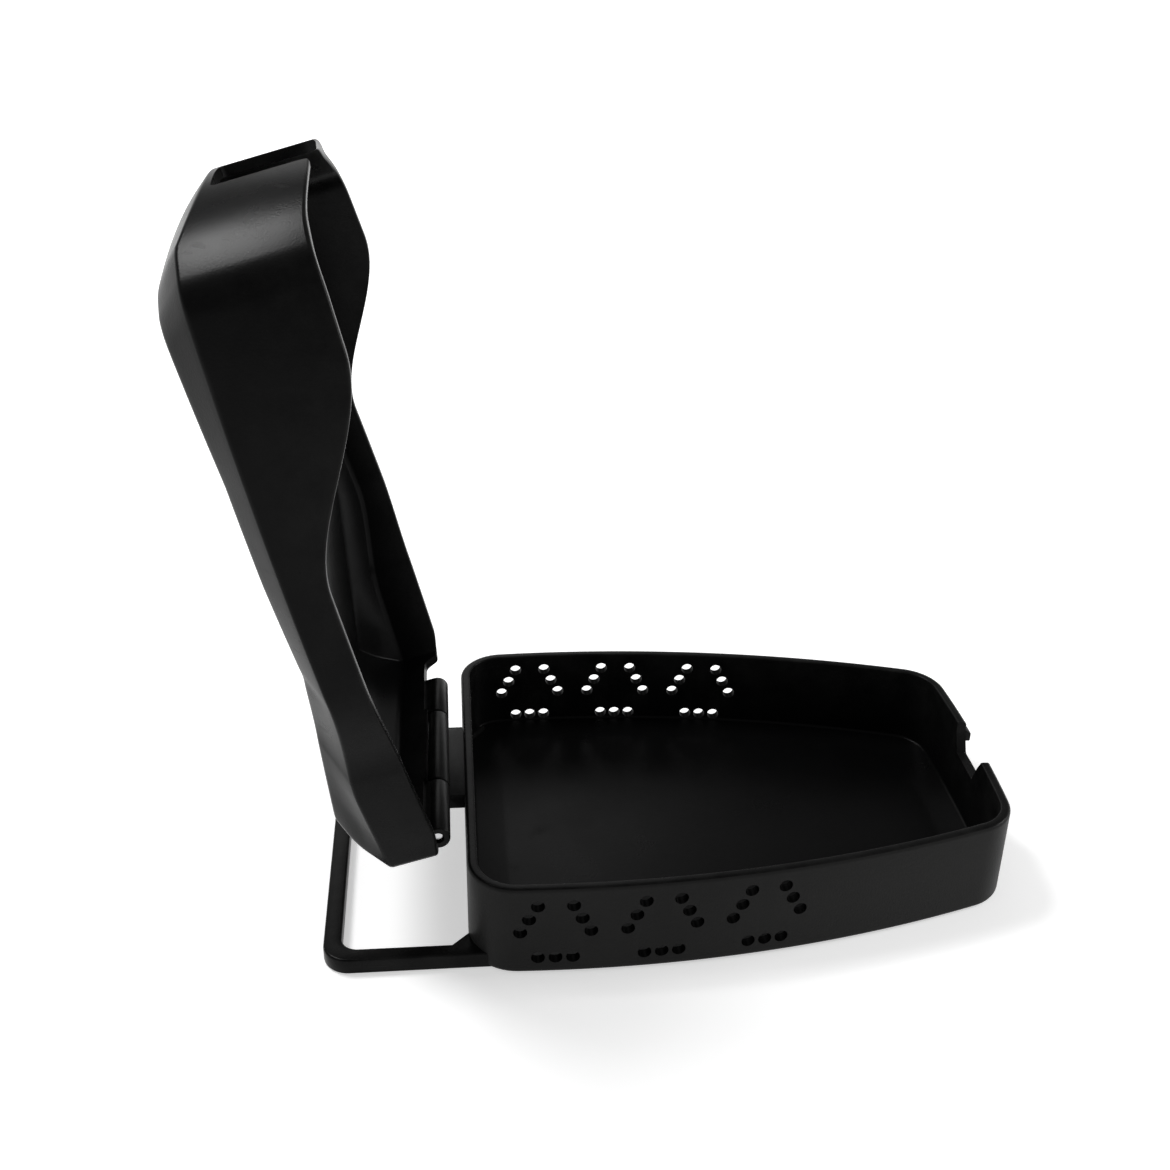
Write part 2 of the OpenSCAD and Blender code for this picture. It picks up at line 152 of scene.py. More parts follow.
def outline(
    x0: float, x1: float, xb: float, hw: float, rs: float, rf: float, rb: float, rc: float,
    steps: Steps = Steps(),
) -> np.ndarray:
    """Closed outline: bowed front, round corners, bowed sides and a straight back.

    Args:
        x0: Place of the back.
        x1: Place of the front.
        xb: Where the outline is widest.
        hw: Half of its greatest width.
        rs: Radius of the sides.
        rf: Radius of the front.
        rb: Radius of the corners at the back.
        rc: Radius of the corners at the front.
        steps: Number of points on each stretch.

    Returns:
        Points, counterclockwise from the front, the second half mirroring the first.
    """
    s = np.array([xb, hw - rs])
    f = np.array([x1 - rf, 0.0])
    c = meet(s, rs - rc, f, rf - rc)
    b = np.array([x0 + rb, s[1] + math.sqrt((rs - rb) ** 2 - (x0 + rb - xb) ** 2)])
    a_front = math.atan2(*(c - f)[::-1])
    a_side = math.atan2(*(c - s)[::-1])
    a_back = math.atan2(*(b - s)[::-1])
    # No point lies on the middle line, so that the second half can mirror the first
    first = a_front / (2 * steps.front - 1)
    y = b[1] * (1 - np.arange(steps.back) / (steps.back - 0.5))
    half = np.concatenate([
        arc(f, rf, first, a_front, steps.front - 1),
        arc(c, rc, a_front, a_side, steps.corner),
        arc(s, rs, a_side, a_back, steps.side),
        arc(b, rb, a_back, math.pi, steps.corner),
        np.stack([np.full(steps.back, x0), y], 1),
    ])
    return mirrored(half)


def lifted(points: np.ndarray, z: float | np.ndarray) -> np.ndarray:
    """Flat points with a height given to each."""
    return np.column_stack([points, np.broadcast_to(z, len(points))])


def quarter(r: float, n: int = 6) -> np.ndarray:
    """Rounding of radius r as n pairs: distance in from the first face, and along it."""
    a = np.linspace(0.0, math.pi / 2, n)
    return r * np.stack([1 - np.cos(a), np.sin(a)], 1)


def rounding(a: np.ndarray, corner: np.ndarray, b: np.ndarray) -> Rings:
    """Places along the curve that rounds a corner, from a to b."""
    return [(1 - t) ** 2 * a + 2 * t * (1 - t) * corner + t * t * b
            for t in np.linspace(0.0, 1.0, ROUND_STEPS)]


def softened(rings: Rings, reach: dict[int, float]) -> Rings:
    """Rounds the creases that lie along some rings of a stack.

    Args:
        rings: The stack of rings.
        reach: For each ring that is a crease, how far the rounding reaches to either side.

    Returns:
        The longer stack.
    """
    out: Rings = []
    for k, ring in enumerate(rings):
        if k not in reach:
            out.append(ring)
            continue
        ends = []
        for other in (rings[k - 1], rings[k + 1]):
            way = other - ring
            length = np.maximum(np.linalg.norm(way, axis=1, keepdims=True), TINY)
            ends.append(ring + way * np.minimum(CREASE_SHARE, reach[k] / length))
        out += rounding(ends[0], ring, ends[1])
    return out


def both_sides(corners: list[Corner]) -> list[Corner]:
    """Corners of one side of a polygon, followed by their mirror image."""
    return corners + [((-a, b), reach) for (a, b), reach in corners[::-1]]


def rounded_polygon(corners: Sequence[Corner]) -> np.ndarray:
    """Polygon with its corners rounded.

    Args:
        corners: The polygon's corners.

    Returns:
        Points of the rounded polygon.
    """
    p = np.array([place for place, _ in corners], float)
    out: list[np.ndarray] = []
    for i, (_, reach) in enumerate(corners):
        corner = p[i]
        if reach <= 0:
            out.append(corner)
            continue
        ends = []
        for other in (p[i - 1], p[(i + 1) % len(p)]):
            way = other - corner
            ends.append(corner + way * min(CORNER_SHARE, reach / float(np.linalg.norm(way))))
        out += rounding(ends[0], corner, ends[1])
    return np.array(out)


# Meshes


def placed(name: str, data: bpy.types.ID) -> bpy.types.Object:
    """Makes an object and links it to the scene.

    Args:
        name: Name of the object.
        data: Its mesh, lamp or camera.

    Returns:
        The object.
    """
    made = bpy.data.objects.new(name, data)
    bpy.context.scene.collection.objects.link(made)
    return made


def mesh_object(name: str, points: np.ndarray, faces: Iterable[Sequence[int]]) -> bpy.types.Object:
    """Makes a mesh object with its coinciding points merged and its faces pointing outwards.

    Args:
        name: Name of the object.
        points: Its points, in millimetres.
        faces: Its faces, as indices into the points.

    Returns:
        The object, linked to the scene.
    """
    mesh = bpy.data.meshes.new(name)
    mesh.from_pydata((np.asarray(points) * MM).tolist(), [], [list(f) for f in faces])
    solid = bmesh.new()
    solid.from_mesh(mesh)
    bmesh.ops.remove_doubles(solid, verts=solid.verts, dist=MERGE)
    bmesh.ops.recalc_face_normals(solid, faces=solid.faces)
    solid.to_mesh(mesh)
    solid.free()
    return placed(name, mesh)


def skin(name: str, rings: Rings, flat_ends: bool) -> bpy.types.Object:
    """Skins a stack of closed rings.

    Args:
        name: Name of the object.
        rings: Rings of equal length, whose second half mirrors the first.
        flat_ends: Whether each end is a flat ring that one face closes. Otherwise the end
            rings have shrunk to a line, and merging their points closes them.

    Returns:
        The object.
    """
    n = len(rings[0])
    i = np.arange(n)
    j = (i + 1) % n
    faces: list[Sequence[int]] = []
    for k in range(len(rings) - 1):
        faces += np.stack([k * n + i, k * n + j, (k + 1) * n + j, (k + 1) * n + i], 1).tolist()
    if flat_ends:
        faces += [i[::-1].tolist(), (i + (len(rings) - 1) * n).tolist()]
    return mesh_object(name, np.concatenate(rings), faces)


def prism(
    name: str, section: np.ndarray, low: float, high: float,
    place: Callable[[float, float, float], tuple[float, float, float]],
) -> bpy.types.Object:
    """Straight prism with a plane section.

    Args:
        name: Name of the object.
        section: Points of the section.
        low: Where the prism starts, along its length.
        high: Where it ends.
        place: Gives the place of a point from its two section values and its length value.

    Returns:
        The object.
    """
    n = len(section)
    points = [place(a, b, t) for t in (low, high) for a, b in section]
    sides = [[k, (k + 1) % n, n + (k + 1) % n, n + k] for k in range(n)]
    ends = [list(range(n))[::-1], list(range(n, 2 * n))]
    return mesh_object(name, np.array(points), sides + ends)


def lathe_y(
    name: str, profile: Sequence[Sequence[float]], centre: Sequence[float], steps: int = 64,
) -> bpy.types.Object:
    """Turned solid round an axis along Y.

    Args:
        name: Name of the object.
        profile: Closed profile as pairs of radius and place along Y. Radius 0 is the axis.
        centre: The axis' X and Z.
        steps: Number of steps round the axis.

    Returns:
        The object.
    """
    points: list[tuple[float, float, float]] = []
    rows: list[list[int]] = []
    for r, y in profile:
        if r == 0:
            rows.append([len(points)] * steps)
            points.append((centre[0], y, centre[1]))
            continue
        rows.append(list(range(len(points), len(points) + steps)))
        for a in np.linspace(0, 2 * math.pi, steps, endpoint=False):
            points.append((centre[0] + r * math.cos(a), y, centre[1] + r * math.sin(a)))
    faces: list[list[int]] = []
    for k, row in enumerate(rows):
        following = rows[(k + 1) % len(rows)]
        for i in range(steps):
            j = (i + 1) % steps
            face = list(dict.fromkeys([row[i], row[j], following[j], following[i]]))
            if len(face) > 2:
                faces.append(face)
    return mesh_object(name, np.array(points), faces)


def cut(piece: bpy.types.Object, tool: bpy.types.Object) -> None:
    """Cuts a piece with a tool, and removes the tool.

    Args:
        piece: The piece that changes.
        tool: The cutter.
    """
    change = piece.modifiers.new("cut", "BOOLEAN")
    change.operation = "DIFFERENCE"
    change.solver = "EXACT"
    change.object = tool
    baked(piece)
    bpy.data.objects.remove(tool)


def bevelled(piece: bpy.types.Object, width: float, angle: float = 40.0) -> bpy.types.Object:
    """Rounds the sharp edges of a small piece.

    Args:
        piece: The piece.
        width: Width of the rounding, in millimetres.
        angle: Edges sharper than this many degrees are rounded.

    Returns:
        The same piece.
    """
    change = piece.modifiers.new("rounding", "BEVEL")
    change.width = width * MM
    change.segments = 3
    change.limit_method = "ANGLE"
    change.angle_limit = math.radians(angle)
    baked(piece)
    return piece


def baked(piece: bpy.types.Object) -> None:
    """Turns a piece's modifiers into its plain mesh.

    Args:
        piece: The piece that changes.
    """
    bpy.context.view_layer.update()
    graph = bpy.context.evaluated_depsgraph_get()
    mesh = bpy.data.meshes.new_from_object(piece.evaluated_get(graph))
    piece.modifiers.clear()
    piece.data = mesh


def joined(name: str, pieces: Sequence[bpy.types.Object]) -> bpy.types.Object:
    """Gathers several closed shells in one object.

    Args:
        name: Name of the object.
        pieces: The shells, which are removed.

    Returns:
        The object.
    """
    whole = bmesh.new()
    for piece in pieces:
        whole.from_mesh(piece.data)
        bpy.data.objects.remove(piece)
    mesh = bpy.data.meshes.new(name)
    whole.to_mesh(mesh)
    whole.free()
    return placed(name, mesh)


def finished(piece: bpy.types.Object, material: bpy.types.Material, sharp: float = 32.0) -> None:
    """Shades a piece smooth up to its sharp edges, marks its convex edges for abrasion and a
    painted highlight, and gives it its material.

    Args:
        piece: The piece.
        material: Its material.
        sharp: Edges sharper than this many degrees stay sharp.
    """
    mesh = piece.data
    shell = bmesh.new()
    shell.from_mesh(mesh)
    shell.normal_update()
    # Convex edges are marked for the lighter edge colour: abrasion, and a painted highlight.
    wear_and_highlight_amount = np.zeros(len(shell.verts), np.float32)
    for edge in shell.edges:
        if len(edge.link_faces) == 2:
            bend = edge.calc_face_angle_signed(0.0)
            for vert in edge.verts:
                wear_and_highlight_amount[vert.index] = max(wear_and_highlight_amount[vert.index], min(1.0, bend / WEAR_AND_HIGHLIGHT_BEND))
    shell.free()
    mark = mesh.attributes.new("edge", "FLOAT", "POINT")
    mark.data.foreach_set("value", wear_and_highlight_amount)
    mesh.shade_smooth()
    mesh.set_sharp_from_angle(angle=math.radians(sharp))
    mesh.materials.clear()
    mesh.materials.append(material)


# Finishes


class Wiring:
    """Short ways to add and join the nodes of one tree."""

    def __init__(self, tree: bpy.types.NodeTree) -> None:
        """Keeps the tree that the nodes go into."""
        self.tree = tree

    def node(
        self, kind: str, links: dict[object, object] | None = None, **settings: object,
    ) -> bpy.types.Node:
        """Adds a node.

        Args:
            kind: The node's type.
            links: For each input, by name or number, a value or another node's output.
            **settings: The node's own properties.

        Returns:
            The node.
        """
        made = self.tree.nodes.new(kind)
        for key, value in settings.items():
            setattr(made, key, value)
        for key, value in (links or {}).items():
            if isinstance(value, bpy.types.NodeSocket):
                self.tree.links.new(value, made.inputs[key])
            else:
                made.inputs[key].default_value = value
        return made

    def maths(self, operation: str, *values: object) -> bpy.types.NodeSocket:
        """Adds a maths node and returns its output."""
        links = dict(enumerate(values))
        return self.node("ShaderNodeMath", links, operation=operation).outputs[0]

    def vector(self, x: object, y: object, z: object) -> bpy.types.NodeSocket:
        """Adds a node that puts three numbers together, and returns its output."""
        return self.node("ShaderNodeCombineXYZ", {0: x, 1: y, 2: z}).outputs[0]

    def mark(self, name: str) -> bpy.types.NodeSocket:
        """Adds a node that reads one of the mesh's marks, and returns its output."""
        return self.node("ShaderNodeAttribute", attribute_name=name).outputs["Fac"]

    def ranged(
        self, value: object, span: tuple[float, float],
        result: tuple[float, float] = (0.0, 1.0), easing: str = "SMOOTHSTEP",
    ) -> bpy.types.NodeSocket:
        """Adds a node that carries one span of values over to another.

        Args:
            value: The value that is carried over.
            span: The two ends of its span.
            result: What the two ends become.
            easing: How the values between them run.

        Returns:
            The node's output.
        """
        links = {0: value, 1: span[0], 2: span[1], 3: result[0], 4: result[1]}
        return self.node("ShaderNodeMapRange", links, interpolation_type=easing).outputs[0]

    def noise(
        self, place: object, scale: object, detail: float, rough: float = 0.5,
    ) -> bpy.types.NodeSocket:
        """Adds a noise texture.

        Args:
            place: Where the noise is read.
            scale: Its scale, per metre.
            detail: How many finer layers it has.
            rough: How strong the finer layers are.

        Returns:
            The noise, from 0 to 1.
        """
        links = {"Vector": place, "Scale": scale, "Detail": detail, "Roughness": rough}
        return self.node("ShaderNodeTexNoise", links).outputs["Fac"]

    def mixed(self, share_of_b: object, a: object, b: object) -> bpy.types.NodeSocket:
        """Adds a node that mixes two colours, and returns its output."""
        links = {0: share_of_b, 6: a, 7: b}
        return self.node("ShaderNodeMix", links, data_type="RGBA").outputs[2]


def cleared(owner: bpy.types.Material | bpy.types.World) -> Wiring:
    """Empties the node tree of a material or world.

    Args:
        owner: The material or world.

    Returns:
        The wiring of its tree.
    """
    owner.use_nodes = True
    owner.node_tree.nodes.clear()
    return Wiring(owner.node_tree)


def started_group(name: str, inputs: dict[str, float], outputs: Sequence[str]) -> Wiring:
    """Starts a group of shader nodes whose sockets are all plain numbers.

    Args:
        name: Name of the group.
        inputs: For each input, its starting value.
        outputs: Names of the outputs.

    Returns:
        The wiring of its tree.
    """
    group = bpy.data.node_groups.new(name, "ShaderNodeTree")
    add = group.interface.new_socket
    for key, value in inputs.items():
        add(name=key, in_out="INPUT", socket_type="NodeSocketFloat").default_value = value
    for key in outputs:
        add(name=key, in_out="OUTPUT", socket_type="NodeSocketFloat")
    return Wiring(group)


def grain_group() -> bpy.types.NodeTree:
    """Fine grain of a mould's surface, with the slow drift that the eye reads as moulding.

    Returns:
        The group, built once. Its height runs from 0 to about 1.5, and its drift from 0 to 1.
    """
    known = bpy.data.node_groups.get("mould_grain")
    if known:
        return known
    inputs = {"Grain per metre": 2600.0, "Drift per metre": 45.0}
    w = started_group("mould_grain", inputs, ("Height", "Drift"))
    given = w.node("NodeGroupInput").outputs
    place = w.node("ShaderNodeTexCoord").outputs["Object"]
    fine = w.noise(place, given["Grain per metre"], detail=3.0, rough=0.6)
    pits = w.node("ShaderNodeTexVoronoi", {"Vector": place, "Scale": given["Grain per metre"]})
    slow = w.noise(place, given["Drift per metre"], detail=4.0, rough=0.55)
    pit_share = 0.45
    height = w.maths("MULTIPLY_ADD", pits.outputs["Distance"], pit_share, fine)
    w.node("NodeGroupOutput", {"Height": height, "Drift": slow})
    return w.tree


def wear_and_highlight_group() -> bpy.types.NodeTree:
    """Mask of the edges that handling has polished, which also carry a painted highlight, broken
    up, and a few light scuffs.

    Returns:
        The group.
    """
    inputs = {"Edge": 0.0, "Amount": 0.6, "Scuffs per metre": 160.0}
    w = started_group("edge_wear_and_highlight", inputs, ("Wear and highlight", "Scuffed"))
    given = w.node("NodeGroupInput").outputs
    place = w.node("ShaderNodeTexCoord").outputs["Object"]
    broken = w.noise(place, given["Scuffs per metre"], detail=5.0, rough=0.7)
    worn_patches = (0.35, 0.65)
    patchy = w.ranged(broken, worn_patches, easing="LINEAR")
    edge = w.maths("MULTIPLY", w.maths("MULTIPLY", given["Edge"], patchy), given["Amount"])
    scuff_stretch = 7.0
    stretched = w.node("ShaderNodeMapping", {
        "Vector": place, "Scale": (1.0, 1.0, scuff_stretch),
    })
    streak = w.noise(stretched.outputs[0], given["Scuffs per metre"], detail=2.0)
    scuff_streaks = (0.62, 0.82)
    scuff = w.ranged(streak, scuff_streaks)
    w.node("NodeGroupOutput", {"Wear and highlight": edge, "Scuffed": scuff})
    return w.tree


@dataclass(frozen=True)
class MouldedPlastic:
    """Satin moulded plastic: grain, lighter edges (abrasion and painted highlight), lighter
    textured outer walls (painted light), bores dulled (painted shade).
    """

    name: str
    base: tuple[float, float, float] = (0.0028, 0.0028, 0.0029)
    # Colour of the edges: abrasion, and a painted highlight.
    wear_and_highlight: tuple[float, float, float] = (0.016, 0.016, 0.0155)
    # Colour of the outer walls, lighter than the base: painted light on them.
    matt_and_painted_light: tuple[float, float, float] = (0.018, 0.018, 0.0178)
    roughness: float = 0.3
    polish: float = 0.06
    specular: float = 0.075
    grain: float = 2600.0
    depth: float = 0.012
    wear_and_highlight_share: float = 0.6
    matt_rough: float = 0.14
    matt_grain: float = 1.2
    # Share of the shine that is cut in the vents' bores: painted shade in the holes.
    bore_painted_shade: float = 0.85
    scuff_rough: float = 0.08
    drift_span: tuple[float, float] = (0.2, 0.8)
    drift_shade: tuple[float, float] = (0.82, 1.16)
    drift_rough: tuple[float, float] = (-0.05, 0.06)

    def build(self) -> bpy.types.Material:
        """Builds the material's node tree.

        Returns:
            The material.
        """
        material = bpy.data.materials.new(self.name)
        w = cleared(material)
        edge = w.mark("edge")
        bore = w.mark("bore")
        matt_and_painted_light = w.mark("matt_and_painted_light")
        grain = w.node("ShaderNodeGroup", {"Grain per metre": self.grain},
                       node_tree=grain_group())
        wear_and_highlight = w.node("ShaderNodeGroup", {
            "Edge": w.maths("MULTIPLY", edge, w.maths("SUBTRACT", 1.0, bore)),
            "Amount": self.wear_and_highlight_share,
        }, node_tree=wear_and_highlight_group())
        # The bores lose most of their shine, so they read dark: painted shade in the holes.
        gloss = w.maths("MULTIPLY_ADD", bore, -self.specular * self.bore_painted_shade, self.specular)
        drift = grain.outputs["Drift"]
        # Outer walls are painted lighter, as painted light on them, over a rougher, coarser
        # texture.
        ground = w.mixed(matt_and_painted_light, (*self.base, 1.0), (*self.matt_and_painted_light, 1.0))
        plain = w.node("ShaderNodeVectorMath", {
            0: ground, "Scale": w.ranged(drift, self.drift_span, self.drift_shade),
        }, operation="SCALE")
        # Edges take a lighter colour: abrasion from handling, and a painted highlight along them.
        colour = w.mixed(wear_and_highlight.outputs["Wear and highlight"], plain.outputs[0], (*self.wear_and_highlight, 1.0))
        low, high = (self.roughness + change for change in self.drift_rough)
        rough = w.ranged(drift, self.drift_span, (low, high))
        for place, change in (
            (wear_and_highlight.outputs["Wear and highlight"], -self.polish),
            (wear_and_highlight.outputs["Scuffed"], self.scuff_rough),
            (matt_and_painted_light, self.matt_rough),
        ):
            rough = w.maths("MULTIPLY_ADD", place, change, rough)
        coarser = w.maths("MULTIPLY_ADD", matt_and_painted_light, self.matt_grain, 1.0)
        height = w.maths("MULTIPLY", grain.outputs["Height"], coarser)
        bump = w.node("ShaderNodeBump", {
            "Strength": 1.0, "Distance": self.depth * MM, "Height": height,
        })
        shader = w.node("ShaderNodeBsdfPrincipled", {
            "Base Color": colour, "Roughness": rough, "Normal": bump.outputs[0],
            "Specular IOR Level": gloss,
        })
        w.node("ShaderNodeOutputMaterial", {"Surface": shader.outputs[0]})
        return material


@dataclass(frozen=True)
class DrawnSteel:
    """Bright drawn steel wire, with fine lines along its length."""

    name: str
    base: tuple[float, float, float] = (0.62, 0.62, 0.63)
    roughness: float = 0.28
    lines: float = 9000.0
    line_stretch: float = 0.02
    line_depth: float = 0.004
    line_span: tuple[float, float] = (0.3, 0.7)
    line_rough: tuple[float, float] = (-0.06, 0.1)
    drift_shade: tuple[float, float] = (0.85, 1.1)

    def build(self) -> bpy.types.Material:
        """Builds the material's node tree.

        Returns:
            The material.
        """
        material = bpy.data.materials.new(self.name)
        w = cleared(material)
        place = w.node("ShaderNodeTexCoord").outputs["Object"]
        along = w.node("ShaderNodeMapping", {
            "Vector": place, "Scale": (1.0, self.line_stretch, 1.0),
        })
        lines = w.noise(along.outputs[0], self.lines, detail=3.0)
        grain = w.node("ShaderNodeGroup", node_tree=grain_group())
        low, high = (self.roughness + change for change in self.line_rough)
        rough = w.ranged(lines, self.line_span, (low, high), "LINEAR")
        tint = w.ranged(grain.outputs["Drift"], (0.0, 1.0), self.drift_shade, "LINEAR")
        colour = w.node("ShaderNodeVectorMath", {0: self.base, "Scale": tint},
                        operation="SCALE")
        bump = w.node("ShaderNodeBump", {"Distance": self.line_depth * MM, "Height": lines})
        shader = w.node("ShaderNodeBsdfPrincipled", {
            "Base Color": colour.outputs[0], "Roughness": rough, "Metallic": 1.0,
            "Normal": bump.outputs[0],
        })
        w.node("ShaderNodeOutputMaterial", {"Surface": shader.outputs[0]})
        return material


# Vents


def vents_tree() -> bpy.types.NodeTree:
    """Geometry Nodes tree that drills triangles of vent holes across a tray.

    Returns:
        The tree, with its sizes in metres as named inputs.
    """
    tree = bpy.data.node_groups.new("vent_triangles", "GeometryNodeTree")
    tree.interface.new_socket(name="Tray", in_out="INPUT", socket_type="NodeSocketGeometry")
    for name in ("Hole diameter", "First triangle", "Triangle pitch", "Bottom row height",
                 "Row step", "Leg height", "Leg reach", "Leg step across", "Leg step up",
                 "Drill length"):
        tree.interface.new_socket(name=name, in_out="INPUT", socket_type="NodeSocketFloat")
    tree.interface.new_socket(name="Triangles", in_out="INPUT", socket_type="NodeSocketInt")
    tree.interface.new_socket(name="Finish", in_out="INPUT", socket_type="NodeSocketMaterial")
    tree.interface.new_socket(name="Tray", in_out="OUTPUT", socket_type="NodeSocketGeometry")
    w = Wiring(tree)
    given = w.node("NodeGroupInput").outputs

    def row(count: object, x: object, z: object, dx: object,
            dz: object) -> bpy.types.NodeSocket:
        """Adds a straight row of points.

        Args:
            count: Number of points.
            x: Place of the first point.
            z: Its height.
            dx: Step along X.
            dz: Step in height.

        Returns:
            The row's output.
        """
        return w.node("GeometryNodeMeshLine", {
            "Count": count, "Start Location": w.vector(x, 0.0, z),
            "Offset": w.vector(dx, 0.0, dz),
        }, mode="OFFSET").outputs[0]

    in_row = 3
    round_hole = 40
    step = given["Row step"]
    reach = given["Leg reach"]
    across = given["Leg step across"]
    bottom = row(in_row, w.maths("MULTIPLY", step, -1.0), 0.0, step, 0.0)
    right = row(in_row, reach, given["Leg height"], w.maths("MULTIPLY", across, -1.0),
                given["Leg step up"])
    left = row(in_row, w.maths("MULTIPLY", reach, -1.0), given["Leg height"], across,
               given["Leg step up"])
    triangle = w.node("GeometryNodeJoinGeometry")
    for part in (left, right, bottom):
        tree.links.new(part, triangle.inputs[0])
    places = row(given["Triangles"], given["First triangle"], given["Bottom row height"],
                 given["Triangle pitch"], 0.0)
    groups = w.node("GeometryNodeInstanceOnPoints", {
        "Points": places, "Instance": triangle.outputs[0],
    })
    points = w.node("GeometryNodeRealizeInstances", {0: groups.outputs[0]})
    drill = w.node("GeometryNodeMeshCylinder", {
        "Vertices": round_hole, "Depth": given["Drill length"],
        "Radius": w.maths("MULTIPLY", given["Hole diameter"], 0.5),
    })
    turned = w.node("GeometryNodeTransform", {
        "Geometry": drill.outputs["Mesh"], "Rotation": (math.pi / 2, 0.0, 0.0),
    })
    drills = w.node("GeometryNodeInstanceOnPoints", {
        "Points": points.outputs[0], "Instance": turned.outputs[0],
    })
    solid = w.node("GeometryNodeRealizeInstances", {0: drills.outputs[0]})
    drilled = w.node("GeometryNodeMeshBoolean", {
        "Mesh 1": given["Tray"], "Mesh 2": solid.outputs[0],
    }, operation="DIFFERENCE", solver="EXACT")
    dressed = w.node("GeometryNodeSetMaterial", {
        "Geometry": drilled.outputs[0], "Material": given["Finish"],
    })
    w.node("NodeGroupOutput", {0: dressed.outputs[0]})
    return tree


def drill_vents(
    piece: bpy.types.Object, sizes: dict[str, object], finish: bpy.types.Material,
) -> None:
    """Runs the vent tree on a piece and keeps the result as its plain mesh.

    Args:
        piece: The tray's shell.
        sizes: For each named input of the tree, its value.
        finish: The material that the tree sets.
    """
    tree = vents_tree()
    change = piece.modifiers.new("vents", "NODES")
    change.node_group = tree
    known = {s.name: s.identifier for s in tree.interface.items_tree
             if s.item_type == "SOCKET" and s.in_out == "INPUT"}
    for name, value in {**sizes, "Finish": finish}.items():
        change[known[name]] = value
    baked(piece)
    bpy.data.node_groups.remove(tree)


# Sub-assemblies


@dataclass
class Hinge:
    """Sizes of the barrel hinge, which the tray and the lid share.

    The barrel reaches from near, on the photograph's side, to far, on the other.
    """

    pin_x: float = -53.7
    pin_z: float = 19.45
    barrel_r: float = 2.1
    near: float = 25.7
    far: float = 23.1
    knuckle: float = 22.0
    gap: float = 0.3
    pin_r: float = 1.0
    clear: float = 0.05
    recess: float = 0.7
    ease: float = 0.3
    neck_share: float = 0.8

    def tube(self, name: str, y0: float, y1: float, bore: float,
             centre: Sequence[float]) -> bpy.types.Object:
        """One knuckle of the barrel, open at both ends.

        Args:
            name: Name of the object.
            y0: Where the knuckle starts.
            y1: Where it ends.
            bore: Radius of its bore.
            centre: X and Z of its axis.

        Returns:
            The knuckle.
        """
        turn = quarter(self.ease, n=4)
        r = self.barrel_r - self.ease
        first = [(r + b, y0 + a) for a, b in turn]
        last = [(r + b, y1 - a) for a, b in turn[::-1]]
        return lathe_y(name, [(bore, y0)] + first + last + [(bore, y1)], centre)


